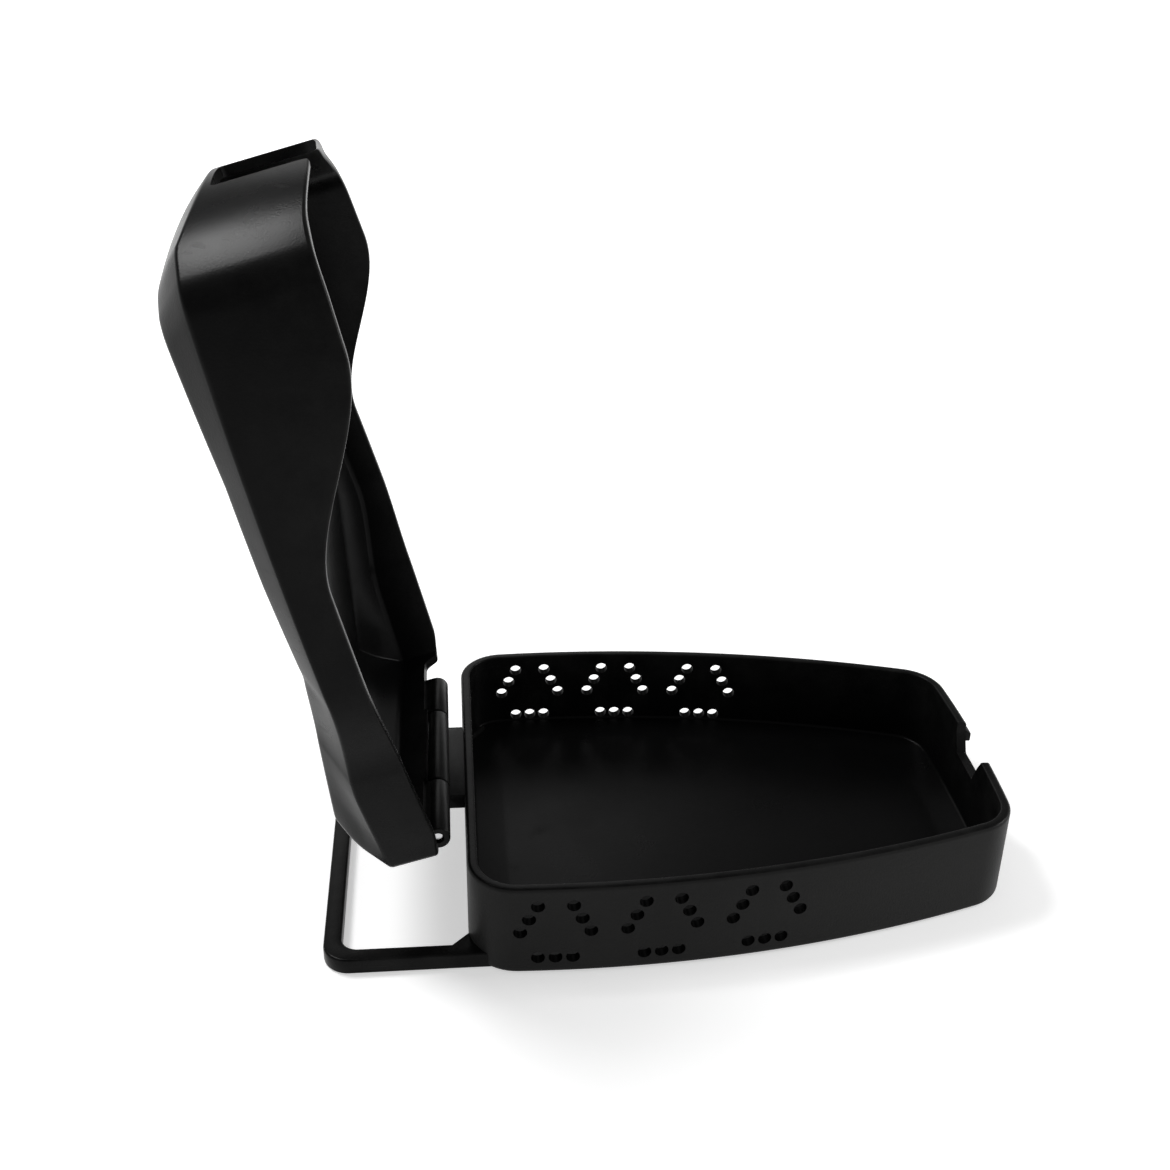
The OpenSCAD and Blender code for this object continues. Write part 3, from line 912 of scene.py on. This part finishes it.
@dataclass
class Tray:
    """The vented tray, with its carry loop, front notch, catch nub and hinge tab."""

    hinge: Hinge

    # Walls, rim and floor
    length: float = 98.0
    width: float = 76.8
    height: float = 17.7
    wall: float = 1.8
    floor: float = 1.4
    side_r: float = 238.0
    belly: float = 18.8
    front_r: float = 300.0
    back_corner: float = 8.5
    front_corner: float = 9.0
    rim_round: float = 0.7
    rim_inner: float = 0.25
    base_round: float = 1.0
    band_rise: float = 0.7
    band: float = 6.0
    band_ease: float = 0.7
    foot_ease: float = 0.6
    floor_ring: float = 6.0

    # Notch and catch nub
    notch_top: float = 12.4
    notch_floor: float = 8.6
    notch_depth: float = 6.0
    notch_ease: float = 1.4
    notch_lip: float = 0.1
    notch_flare: tuple[float, float] = (0.4, 0.6)
    notch_past: tuple[float, float] = (2.0, 3.0)
    nub_len: float = 2.6
    nub_h: float = 2.4
    nub_out: float = 1.2
    nub_slope: float = 0.25
    nub_drop: float = 1.4
    nub_round: float = 0.22

    # Carry loop
    loop_reach: float = 24.6
    loop_w: float = 69.6
    loop_shift: float = -1.5
    loop_end: float = 3.1
    loop_side: float = 2.9
    loop_h: float = 3.05
    loop_corner: float = 4.5
    loop_round: float = 0.45
    loop_root: float = 0.55
    loop_sink: tuple[float, float] = (0.2, 0.5)
    loop_bend_steps: int = 12
    loop_round_steps: int = 5
    gusset: float = 2.8

    # Hinge tab
    tab_t: float = 2.8
    tab_drop: float = 0.35
    tab_sink: float = 1.25
    tab_clear: float = 0.1
    tab_round: float = 0.25

    # Vents
    vents: dict[str, float] = field(default_factory=lambda: {
        "Hole diameter": 2.35, "First triangle": 14.4, "Triangle pitch": 18.0,
        "Bottom row height": 3.45, "Row step": 2.94, "Leg height": 5.44, "Leg reach": 5.91,
        "Leg step across": 1.47, "Leg step up": 2.73, "Drill length": 90.0,
    })
    vent_groups: int = 3

    # Where the finish changes, and where the painted light and painted shade go
    outer_wall_lean: float = 0.5
    outer_wall_ends: float = 42.0
    bore_lean: float = 0.3
    bore_from: float = 28.0
    bore_span: tuple[float, float] = (2.25, 15.6)

    @property
    def back(self) -> float:
        """Place of the hinge wall's outer face."""
        return -self.length / 2

    def plan(self, d: float) -> np.ndarray:
        """The tray's outline, drawn in by d all round.

        Args:
            d: Distance inside the outer face.

        Returns:
            Points of the outline.
        """
        return outline(
            self.back + d, self.length / 2 - d, self.back + self.belly, self.width / 2 - d,
            self.side_r - d, self.front_r - d, self.back_corner - d, self.front_corner - d)

    def floor_plan(self, d: float) -> np.ndarray:
        """An outline on the floor, whose corners are as round as those of the walls' foot.

        Args:
            d: Distance inside the walls' inner faces.

        Returns:
            Points of the outline.
        """
        w = self.wall
        return outline(
            self.back + w + d, self.length / 2 - w - d, self.back + self.belly,
            self.width / 2 - w - d, self.side_r - w - d, self.front_r - w - d,
            self.back_corner - w, self.front_corner - w)

    def shell(self) -> bpy.types.Object:
        """Walls, floor and rim, with rounded edges.

        Returns:
            The closed shell.
        """
        h = self.height
        rim = quarter(self.rim_round)
        inner = quarter(self.rim_inner, n=4)
        rings = [lifted(self.plan(self.base_round - b), a) for a, b in quarter(self.base_round)]
        rings += [lifted(self.plan(a), h - self.rim_round + b) for a, b in rim]
        rings += [lifted(self.plan(self.wall - a), h - self.rim_inner + b)
                  for a, b in inner[::-1]]
        foot = len(rings)
        rings += [
            lifted(self.plan(self.wall), self.floor + self.band_rise),
            lifted(self.floor_plan(self.band), self.floor),
            lifted(self.floor_plan(self.band + self.floor_ring), self.floor),
        ]
        creases = {foot: self.foot_ease, foot + 1: self.band_ease}
        return skin("tray_shell", softened(rings, creases), True)

    def notch_cutter(self) -> bpy.types.Object:
        """Cutter of the notch in the front wall.

        Returns:
            A prism along X.
        """
        h = self.height
        over = 4.0
        top = self.notch_top / 2
        low = self.notch_floor / 2
        bottom = h - self.notch_depth
        bend = h - self.notch_depth / 3
        eased = top + self.notch_ease
        steep, gentle = self.notch_flare
        corners = [
            ((-low, bottom), 0.5), ((low, bottom), 0.5), ((top, bend), 0.6), ((top, h), 0.5),
            ((top + steep, h + over), 0), ((-eased - gentle, h + over), 0),
            ((-eased, h - self.notch_lip), 1.2), ((-top, bend), 1.0),
        ]
        front = self.length / 2
        inward, outward = self.notch_past
        return prism("notch_cutter", rounded_polygon(corners), front - self.wall - inward,
                     front + outward, lambda a, b, t: (t, a, b))

    def nub(self) -> bpy.types.Object:
        """The catch nub beside the notch.

        Returns:
            A small wedge with rounded edges.
        """
        x = self.length / 2
        z = self.height - self.rim_round - self.nub_drop
        out = self.nub_out
        shoulder = z - self.nub_h * self.nub_slope
        section = np.array([
            (x - self.wall / 2, z), (x, z), (x + out, shoulder),
            (x + out, z - self.nub_h), (x - self.wall / 2, z - self.nub_h)])
        y = self.notch_top / 2
        piece = prism("catch_nub", section, y, y + self.nub_len, lambda a, b, t: (a, t, b))
        return bevelled(piece, self.nub_round)

    def loop_paths(self) -> tuple[np.ndarray, np.ndarray]:
        """Outer and inner path of the carry loop, point by point side by side.

        Returns:
            Two arrays of equal length.
        """
        back = self.back
        end = back - self.loop_reach
        root = back + self.back_corner * self.loop_root
        wo = self.loop_w / 2
        wi = wo - self.loop_side
        g = self.gusset
        outside, inside = self.loop_sink
        turn = np.linspace(0, math.pi / 2, self.loop_bend_steps)
        paths = []
        for start, x, y, r in (
            ([(root, wo), (back - outside, wo), (back - g, wo)], end, wo, self.loop_corner),
            ([(back + inside, wi - g), (back, wi - g), (back - g, wi)], end + self.loop_end, wi,
             self.loop_corner - self.loop_end / 2),
        ):
            bend = [(x + r - r * math.sin(a), y - r + r * math.cos(a)) for a in turn]
            paths.append(mirrored(start + bend) + [0.0, self.loop_shift])
        return paths[0], paths[1]

    def loop(self) -> bpy.types.Object:
        """The carry loop as one bar with rounded edges, its two ends inside the tray's walls.

        Returns:
            The closed loop.
        """
        outer, inner = self.loop_paths()
        r = self.loop_round
        h = self.loop_h
        way = inner - outer
        way /= np.linalg.norm(way, axis=1, keepdims=True)
        angles = np.linspace(0, math.pi / 2, self.loop_round_steps)
        flank = [(r - r * math.sin(a), r - r * math.cos(a)) for a in angles]
        flank += [(r - r * math.cos(a), h - r + r * math.sin(a)) for a in angles]
        rows = [lifted(outer + way * d, z) for d, z in flank]
        rows += [lifted(inner - way * d, z) for d, z in flank[::-1]]
        m = len(rows)
        n = len(outer)
        faces = [[k * n + i, k * n + i + 1, (k + 1) % m * n + i + 1, (k + 1) % m * n + i]
                 for k in range(m) for i in range(n - 1)]
        faces += [[k * n for k in range(m)], [k * n + n - 1 for k in range(m)][::-1]]
        return mesh_object("carry_loop", np.concatenate(rows), faces)

    def tab(self) -> bpy.types.Object:
        """The tab and neck that carry the middle knuckle.

        Returns:
            The tab with rounded edges.
        """
        top = self.height - self.tab_drop
        low = top - self.tab_t
        hinge = self.hinge
        neck = hinge.neck_share * hinge.barrel_r
        x = hinge.pin_x
        in_wall = self.back + self.wall / 2
        in_barrel = hinge.pin_z - self.tab_sink
        section = np.array([
            (x - neck, in_barrel), (x - neck, low), (in_wall, low), (in_wall, top),
            (x + neck, top), (x + neck, in_barrel)])
        w = hinge.knuckle / 2 - self.tab_clear
        piece = prism("hinge_tab", section, -w, w, lambda a, b, t: (a, t, b))
        return bevelled(piece, self.tab_round)

    def mark_walls(self, shell: bpy.types.Object) -> None:
        """Marks the outer walls, which the mould leaves textured and which are painted lighter as
        painted light, and the vents' bores, which are dulled as painted shade.

        Args:
            shell: The drilled shell.
        """
        faces = shell.data.polygons
        place = np.array([f.center for f in faces])
        facing = np.array([f.normal for f in faces])
        outward = facing * np.sign(place) > self.outer_wall_lean
        at_ends = np.abs(place[:, 0]) > self.outer_wall_ends * MM
        outer = outward[:, 1] | (outward[:, 0] & at_ends)
        low, high = self.bore_span
        bores = (np.abs(facing[:, 1]) < self.bore_lean) & ~at_ends
        bores &= np.abs(place[:, 1]) > self.bore_from * MM
        bores &= (place[:, 2] > low * MM) & (place[:, 2] < high * MM)
        for name, marked in (("matt_and_painted_light", outer), ("bore", bores)):
            mark = shell.data.attributes.new(name, "FLOAT", "FACE")
            mark.data.foreach_set("value", marked.astype(np.float32))

    def build(self, finish: bpy.types.Material) -> bpy.types.Object:
        """Builds the whole tray.

        Args:
            finish: Its material.

        Returns:
            The finished piece.
        """
        shell = self.shell()
        cut(shell, self.notch_cutter())
        sizes: dict[str, object] = {k: v * MM for k, v in self.vents.items()}
        sizes["First triangle"] = (self.back + self.vents["First triangle"]) * MM
        sizes["Triangles"] = self.vent_groups
        drill_vents(shell, sizes, finish)
        hinge = self.hinge
        knuckle = hinge.tube("tray_knuckle", -hinge.knuckle / 2, hinge.knuckle / 2,
                             hinge.pin_r, (hinge.pin_x, hinge.pin_z))
        self.mark_walls(shell)
        piece = joined("tray_body", [shell, self.nub(), self.loop(), self.tab(), knuckle])
        finished(piece, finish)
        return piece


@dataclass
class Lid:
    """The lid: top panel, bevels, facets, S-curved sides, nose slot and two knuckles.

    Places are measured from the pin along the closed lid, and turned open at the end.
    """

    hinge: Hinge
    open_angle: float = 106.0

    # Outline
    wall: float = 1.6
    half_width: float = 40.5
    belly: float = 23.5
    end: float = 1.2
    nose: float = 109.5
    side_r: float = 240.1
    nose_r: float = 45.0
    nose_corner: float = 10.0
    end_corner: float = 2.0
    corner_min: float = 0.4
    shoulder_in: float = 4.0
    shoulder_taper: float = 0.125

    # Rim and the side walls' upper edge
    rim_z: float = -1.5
    skirt_drop: float = 13.1
    nose_lift: float = 0.5
    nose_drop: float = 1.2
    end_lift: float = 0.9
    end_lift_len: float = 6.0
    relief_w: float = 5.6
    edge_back: float = 7.5
    edge_mid: float = 4.7
    edge_nose: float = 1.0

    # Bevels, facets and top panel
    bevel_w: float = 6.2
    end_facet: float = 9.2
    nose_facet: float = 6.0
    end_swell: float = 1.1
    nose_swell: float = 0.6
    crown: float = 0.5
    crown_len: float = 0.86
    crown_half: float = 0.5
    crown_power: int = 4
    middle_in: float = 0.04
    bevel_slope: float = 38.0
    panel_ease: float = 0.007
    panel_samples: int = 9
    panel_steps: tuple[float, ...] = (0.94, 0.86, 0.75, 0.62, 0.5, 0.36, 0.18, 0.0)

    # Slot, rim rounding and hinge end
    slot_w: float = 12.0
    slot_shift: float = -0.8
    slot_z: float = -0.2
    slot_ease: float = 1.2
    slot_round: float = 0.9
    slot_lip: float = 1.0
    rim_round: float = 0.55
    rim_inner: float = 0.3
    relief_round: float = 1.2
    relief_lip: float = 0.6
    apron_drop: float = 0.6
    apron_in: float = 0.05
    apron_round: float = 0.15
    web_clear: float = 0.05
    web_steps: int = 8
    cut_past: float = 2.0

    # Rounding of the creases: panel's edge, middle of the bevel and side wall's edge
    creases_in: tuple[float, float, float] = (1.6, 2.4, 0.8)
    creases_out: tuple[float, float, float] = (0.8, 2.4, 0.5)

    # Stations, as shares of the length
    at_shoulder: tuple[float, float] = (0.192, 0.36)
    at_edge_fall: tuple[float, float] = (0.143, 0.346)
    at_edge_nose: float = 0.956
    at_skirt: tuple[float, float] = (0.495, 0.795)
    at_nose_lift: tuple[float, float] = (0.86, 0.96)
    at_nose_drop: float = 0.943
    at_nose_swell: float = 0.9
    at_end_swell: float = 0.09
    panel: tuple[tuple[float, float], ...] = (
        (0.0, 14.4), (0.335, 8.15), (0.5, 8.745), (0.667, 8.85), (0.8625, 10.0),
        (0.92, 10.3), (0.95, 10.15), (1.0, 7.9))
    steps: Steps = Steps(side=140)

    def along(self, u: np.ndarray) -> np.ndarray:
        """Share of the lid's length at which u lies."""
        return share(u, self.end, self.nose)

    def plan(self, d: float) -> np.ndarray:
        """The lid's outline in its closed place, drawn in by d.

        Args:
            d: Distance inside the outer face.

        Returns:
            Points of the outline, with its shoulders near the hinge.
        """
        points = outline(
            self.end + d, self.nose - d, self.belly, self.half_width - d, self.side_r - d,
            self.nose_r - d, max(self.corner_min, self.end_corner - d), self.nose_corner - d,
            self.steps)
        u0, u1 = (self.end + t * (self.nose - self.end) for t in self.at_shoulder)
        u = points[:, 0]
        pinch = self.shoulder_in * (1 - ease(share(u, u0, u1)))
        pinch += self.shoulder_taper * np.maximum(0.0, u0 - u)
        y = points[:, 1]
        points[:, 1] = np.sign(y) * np.maximum(0.0, np.abs(y) - pinch)
        flat = np.abs(points[:, 0] - self.end - d) < TINY
        inner = np.abs(y[flat])
        points[flat, 1] = np.sign(y[flat]) * inner * (inner.max() - pinch[flat][0]) / inner.max()
        return points

    def rim(self, u: np.ndarray) -> np.ndarray:
        """Height of the rim over the pin.

        Args:
            u: Places along the lid.

        Returns:
            Heights at these places.
        """
        t = self.along(u)
        lift = self.end_lift * (1 - ease(share(u, self.end, self.end + self.end_lift_len)))
        drop = self.skirt_drop * ease(share(t, *self.at_skirt))
        drop += self.nose_drop * ease(share(t, self.at_nose_drop, 1.0))
        return self.rim_z + lift - drop + self.nose_lift * ease(share(t, *self.at_nose_lift))

    def edge(self, u: np.ndarray) -> np.ndarray:
        """Height of the side walls' upper edge over the pin.

        Args:
            u: Places along the lid.

        Returns:
            Heights at these places.
        """
        t = self.along(u)
        fall = (self.edge_mid - self.edge_back) * ease(share(t, *self.at_edge_fall))
        end = np.maximum(0.0, share(t, self.at_edge_nose, 1.0))
        end *= self.edge_nose - self.edge_mid
        return self.edge_back + fall + end

    def panel_z(self, t: np.ndarray) -> np.ndarray:
        """Height of the top panel at a share of its length, with its bends eased.

        Args:
            t: Shares of the panel's length.

        Returns:
            Heights over the pin.
        """
        at, z = np.array(self.panel).T
        window = np.linspace(-self.panel_ease, self.panel_ease, self.panel_samples)
        spread = np.minimum(1.0, np.minimum(t, 1 - t) / self.panel_ease)[..., None]
        return np.interp(np.clip(t[..., None] + window * spread, 0, 1), at, z).mean(-1)

    def panel_ring(self, plan: np.ndarray, d: float) -> np.ndarray:
        """The top panel's edge that belongs to an outline.

        Args:
            plan: The outline of the outer or the inner face.
            d: How far the edge lies inside the outer one. 0 stands for the outer face.

        Returns:
            The edge's points.
        """
        wall = self.wall if d > 0 else 0.0
        t = share(plan[:, 0], self.end + wall, self.nose - wall)
        u0 = self.end + self.end_facet + d
        u1 = self.nose - self.nose_facet - d
        y = plan[:, 1] * (1 - (self.bevel_w + d) / self.half_width)
        return np.column_stack([u0 + t * (u1 - u0), y, self.panel_z(t)])

    def swollen(self, a: np.ndarray, b: np.ndarray) -> np.ndarray:
        """The line half way up the bevel, which swells over the nose and at the hinge end.

        Args:
            a: The bevel's lower or upper edge, whose places along the lid count.
            b: Its other edge.

        Returns:
            The line's points.
        """
        t = self.along(a[:, 0])
        lift = self.nose_swell * ease(share(t, self.at_nose_swell, 1.0))
        lift += self.end_swell * ease(share(t, self.at_end_swell, 0.0))
        level = np.zeros_like(lift)
        return (a + b) / 2 + np.column_stack([level, level, lift])

    def panel_rings(self, edge: np.ndarray, dz: float) -> Rings:
        """Rings that fill the top panel from its edge towards its middle line.

        Args:
            edge: The panel's edge.
            dz: Height that is added, to lower the shell's inside.

        Returns:
            Rings from just inside the edge to the middle.
        """
        u0 = edge[:, 0].min()
        u1 = edge[:, 0].max()
        middle = (u0 + u1) / 2
        rings: Rings = []
        half = self.crown_half
        for s in self.panel_steps:
            inward = min(1.0, (1 - s) / half)
            shrunk = 1 - (1 - self.crown_len) * inward
            shrunk *= 1 - self.middle_in * max(0.0, 1 - s / half)
            u = middle + (edge[:, 0] - middle) * shrunk
            t = share(u, u0, u1)
            fullness = 1 - (2 * t - 1) ** self.crown_power
            rise = self.crown * fullness * math.sin(inward * math.pi / 2)
            rings.append(np.column_stack([u, edge[:, 1] * s, self.panel_z(t) + dz + rise]))
        return rings

    def shell(self) -> bpy.types.Object:
        """The lid's shell in its closed place, with rounded rim and creases.

        Returns:
            The closed shell.
        """
        wall = self.wall
        slope = math.radians(self.bevel_slope)
        crease = wall * math.tan(math.pi / 4 - slope / 2)
        inset = wall * math.tan(slope / 2)
        outer = self.plan(0.0)
        inner = self.plan(wall)
        edge_out = lifted(outer, self.edge(outer[:, 0]))
        edge_in = lifted(inner, self.edge(inner[:, 0]) - crease)
        panel_out = self.panel_ring(outer, 0.0)
        panel_in = self.panel_ring(inner, inset) - [0, 0, wall]
        top_in = self.panel_rings(panel_in, -wall)[::-1]
        top_out = self.panel_rings(panel_out, 0.0)
        rings = top_in + [panel_in, self.swollen(edge_in, panel_in), edge_in]
        creases = dict(enumerate(self.creases_in, len(top_in)))
        lip = [(wall - a, self.rim_inner, b) for a, b in quarter(self.rim_inner, n=5)]
        lip += [(a, self.rim_round, b) for a, b in quarter(self.rim_round)[::-1]]
        for d, r, b in lip:
            plan = self.plan(d)
            rings.append(lifted(plan, self.rim(plan[:, 0]) + r - b))
        creases |= dict(enumerate(self.creases_out[::-1], len(rings)))
        rings += [edge_out, self.swollen(edge_out, panel_out), panel_out] + top_out
        return skin("lid_shell", softened(rings, creases), False)

    def relief_cutter(self) -> bpy.types.Object:
        """Cutter of the end wall's rim between the side walls, less deep behind the knuckle.

        Returns:
            A prism along the lid.
        """
        y0 = self.hinge.near + self.relief_w / 2
        y1 = self.hinge.near + self.relief_w
        top = self.hinge.barrel_r - self.hinge.gap
        low = self.rim_z
        half = self.hinge.knuckle / 2 + self.hinge.gap - self.apron_in
        apron = top - self.apron_drop
        past = self.cut_past
        corners = both_sides([
            ((y1 + past, low - past), 0), ((y1, low), self.relief_lip),
            ((y0, top), self.relief_round), ((half, top), 0), ((half, apron), self.apron_round),
        ])
        return prism("relief_cutter", rounded_polygon(corners), -past,
                     self.end + self.end_corner, lambda a, b, t: (t, a, b))

    def trough_cutter(self) -> bpy.types.Object:
        """Cutter of the round trough that clears the tray's knuckle.

        Returns:
            A cylinder round the pin's axis.
        """
        w = self.hinge.knuckle / 2 + self.hinge.gap
        r = self.hinge.barrel_r + self.hinge.gap
        profile = [(0, -w), (r, -w), (r, w), (0, w)]
        return lathe_y("trough_cutter", profile, (0, 0), steps=96)

    def slot_cutter(self) -> bpy.types.Object:
        """Cutter of the slot in the nose.

        Returns:
            A prism along the lid.
        """
        low = self.rim_z - self.skirt_drop + self.nose_lift - self.nose_drop
        y = self.slot_w / 2
        e = self.slot_ease
        past = self.cut_past
        corners = both_sides([
            ((-y, self.slot_z), self.slot_round), ((-y, low + e), self.slot_lip),
            ((-y - e, low - past), 0),
        ])
        return prism("slot_cutter", rounded_polygon(corners), self.nose - self.nose_facet,
                     self.nose + past, lambda a, b, t: (t, a + self.slot_shift, b))

    def knuckle(self, name: str, y0: float, y1: float) -> list[bpy.types.Object]:
        """One of the lid's knuckles with its web.

        Args:
            name: Name of the pieces.
            y0: Where the knuckle starts.
            y1: Where it ends.

        Returns:
            The knuckle's shells.
        """
        hinge = self.hinge
        bore = hinge.pin_r + hinge.clear
        tube = hinge.tube(name, y0, y1, bore, (0.0, 0.0))
        web_u = self.end + self.wall / 2
        web_z = hinge.barrel_r + self.wall / 2
        mid = (bore + hinge.barrel_r) / 2
        turn = np.linspace(0.0, math.pi / 2, self.web_steps)
        inside = [(mid * math.cos(a), mid * math.sin(a)) for a in turn[::-1]]
        section = np.array(
            inside + [(web_u, 0.0), (web_u, web_z), (self.end, web_z), (0.0, hinge.barrel_r)])
        web = prism(f"{name}_web", section, y0 + self.web_clear, y1 - self.web_clear,
                    lambda a, b, t: (a, t, b))
        return [tube, web]

    def build(self, finish: bpy.types.Material) -> bpy.types.Object:
        """Builds the whole lid and turns it open.

        Args:
            finish: Its material.

        Returns:
            The finished piece.
        """
        shell = self.shell()
        for cutter in (self.relief_cutter(), self.slot_cutter(), self.trough_cutter()):
            cut(shell, cutter)
        hinge = self.hinge
        start = hinge.knuckle / 2 + hinge.gap
        near = self.knuckle("near_knuckle", -hinge.near, -start)
        far = self.knuckle("far_knuckle", start, hinge.far)
        piece = joined("lid_body", [shell] + near + far)
        turn = Matrix.Rotation(math.radians(-self.open_angle), 4, "Y")
        shift = Matrix.Translation(Vector((hinge.pin_x, 0.0, hinge.pin_z)) * MM)
        piece.data.transform(shift @ turn)
        finished(piece, finish)
        return piece


@dataclass
class Pin:
    """The steel pin in the hinge barrel."""

    hinge: Hinge
    chamfer: float = 0.25

    def build(self, finish: bpy.types.Material) -> bpy.types.Object:
        """Builds the pin with chamfered ends.

        Args:
            finish: Its material.

        Returns:
            The finished piece.
        """
        hinge = self.hinge
        y0 = -hinge.near + hinge.recess
        y1 = hinge.far - hinge.recess
        r = hinge.pin_r
        c = self.chamfer
        profile = [(0.0, y0), (r - c, y0), (r, y0 + c), (r, y1 - c), (r - c, y1), (0.0, y1)]
        piece = lathe_y("hinge_pin_body", profile, (hinge.pin_x, hinge.pin_z), steps=48)
        finished(piece, finish)
        return piece


# Studio


@dataclass(frozen=True)
class Lamp:
    """One soft box: where it stands, where it looks, and how large and bright it is."""

    name: str
    place: tuple[float, float, float]
    target: tuple[float, float, float]
    size: tuple[float, float]
    watts: float

    def build(self) -> None:
        """Adds the lamp to the scene."""
        data = bpy.data.lights.new(self.name, "AREA")
        data.shape = "RECTANGLE"
        data.size, data.size_y = self.size
        data.energy = self.watts
        lamp = placed(self.name, data)
        lamp.location = self.place
        way = Vector(self.target) - Vector(self.place)
        lamp.rotation_euler = way.to_track_quat("-Z", "Y").to_euler()


@dataclass
class Studio:
    """White floor, plain soft light, and the camera."""

    place: tuple[float, float, float] = (-0.04975, -0.22524, 0.17326)
    yaw: float = 5.760
    pitch: float = 27.876
    roll: float = 1.148
    lens: float = 44.998
    sensor: float = 36.0
    nearest: float = 0.01
    floor_half: float = 3000.0
    floor_drop: float = 0.05
    floor_grey: float = 0.9
    sweep_light: float = 1.0
    dome_light: float = 0.22
    sweep_top: tuple[float, float] = (0.14, 0.36)
    floor_glow: tuple[float, float] = (0.5, 0.95)
    glow_reach: tuple[float, float] = (0.26, 0.75)
    lamps: tuple[Lamp, ...] = (
        Lamp("key_softbox", (-0.41, 0.2, 0.73), (-0.02, 0.0, 0.03), (0.24, 0.24), 3.5),
        Lamp("back_softbox", (-0.1, 0.7, 0.5), (-0.03, 0.0, 0.03), (0.4, 0.4), 0.6),
        Lamp("right_softbox", (0.75, 0.05, 0.4), (-0.06, 0.0, 0.04), (0.24, 0.24), 2.2),
    )

    def camera(self) -> None:
        """Adds the camera at the photograph's viewing angle."""
        yaw, pitch, roll = (math.radians(a) for a in (self.yaw, self.pitch, self.roll))
        ahead = Vector((math.sin(yaw) * math.cos(pitch), math.cos(yaw) * math.cos(pitch),
                        -math.sin(pitch)))
        right = Vector((math.cos(yaw), -math.sin(yaw), 0.0))
        up = right.cross(ahead)
        turned = math.cos(roll) * right + math.sin(roll) * up
        upright = math.cos(roll) * up - math.sin(roll) * right
        data = bpy.data.cameras.new("camera")
        data.lens = self.lens
        data.sensor_width = self.sensor
        data.sensor_fit = "HORIZONTAL"
        data.clip_start = self.nearest
        camera = placed("camera", data)
        camera.matrix_world = Matrix.Translation(self.place) @ Matrix(
            (turned, upright, -ahead)).transposed().to_4x4()
        bpy.context.scene.camera = camera

    def floor(self) -> None:
        """Adds the pale floor, whose paint takes the case's shadow.

        A glow that grows with the distance is added for camera, glossy and transmission rays.
        """
        r = self.floor_half
        z = -self.floor_drop
        floor = mesh_object("floor", np.array([(-r, -r, z), (r, -r, z), (r, r, z), (-r, r, z)]),
                            [[0, 1, 2, 3]])
        material = bpy.data.materials.new("floor_white")
        w = cleared(material)
        rays = w.node("ShaderNodeLightPath").outputs
        seen = w.maths("MAXIMUM", rays["Is Camera Ray"], rays["Is Glossy Ray"])
        seen = w.maths("MAXIMUM", seen, rays["Is Transmission Ray"])
        grey = self.floor_grey
        paint = w.node("ShaderNodeBsdfDiffuse", {"Color": (grey, grey, grey, 1.0)})
        place = w.node("ShaderNodeTexCoord").outputs["Object"]
        away = w.node("ShaderNodeVectorMath", {0: place}, operation="LENGTH").outputs["Value"]
        rise = w.ranged(away, self.glow_reach, self.floor_glow)
        glow = w.node("ShaderNodeEmission", {
            "Color": (1.0, 1.0, 1.0, 1.0), "Strength": w.maths("MULTIPLY", seen, rise),
        })
        both = w.node("ShaderNodeAddShader", {0: paint.outputs[0], 1: glow.outputs[0]})
        w.node("ShaderNodeOutputMaterial", {"Surface": both.outputs[0]})
        floor.data.materials.append(material)

    def world(self) -> None:
        """Sets the surround: a white sweep round the horizon, under a dimmer dome."""
        world = bpy.data.worlds.new("surround")
        bpy.context.scene.world = world
        w = cleared(world)
        way = w.node("ShaderNodeTexCoord").outputs["Generated"]
        height = w.node("ShaderNodeSeparateXYZ", {0: way}).outputs[2]
        strength = w.ranged(height, self.sweep_top, (self.sweep_light, self.dome_light))
        light = w.node("ShaderNodeBackground", {
            "Color": (1.0, 1.0, 1.0, 1.0), "Strength": strength,
        })
        w.node("ShaderNodeOutputWorld", {"Surface": light.outputs[0]})

    def build(self) -> None:
        """Sets up the camera, the floor, the world and the lamps."""
        self.camera()
        self.floor()
        self.world()
        for lamp in self.lamps:
            lamp.build()
        bpy.context.scene.view_settings.view_transform = "Standard"


def main() -> None:
    """Builds the case piece by piece, ties each to its body, and sets up the studio."""
    logging.basicConfig(level=logging.INFO, format="%(message)s")
    Studio().build()
    plastic = MouldedPlastic("satin_black_plastic").build()
    steel = DrawnSteel("drawn_steel").build()
    hinge = Hinge()
    parts = (
        (Tray(hinge).build(plastic), "tray", "tray", Slot.PLASTIC),
        (Lid(hinge).build(plastic), "lid", "lid", Slot.PLASTIC),
        (Pin(hinge).build(steel), "hinge_pin", "tray", Slot.STEEL),
    )
    for piece, node, body, slot in parts:
        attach(piece, body)
        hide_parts(node)
        LOG.info("%s: %d faces, stands for %s", piece.name, len(piece.data.polygons), node)


if __name__ == "__main__":
    main()
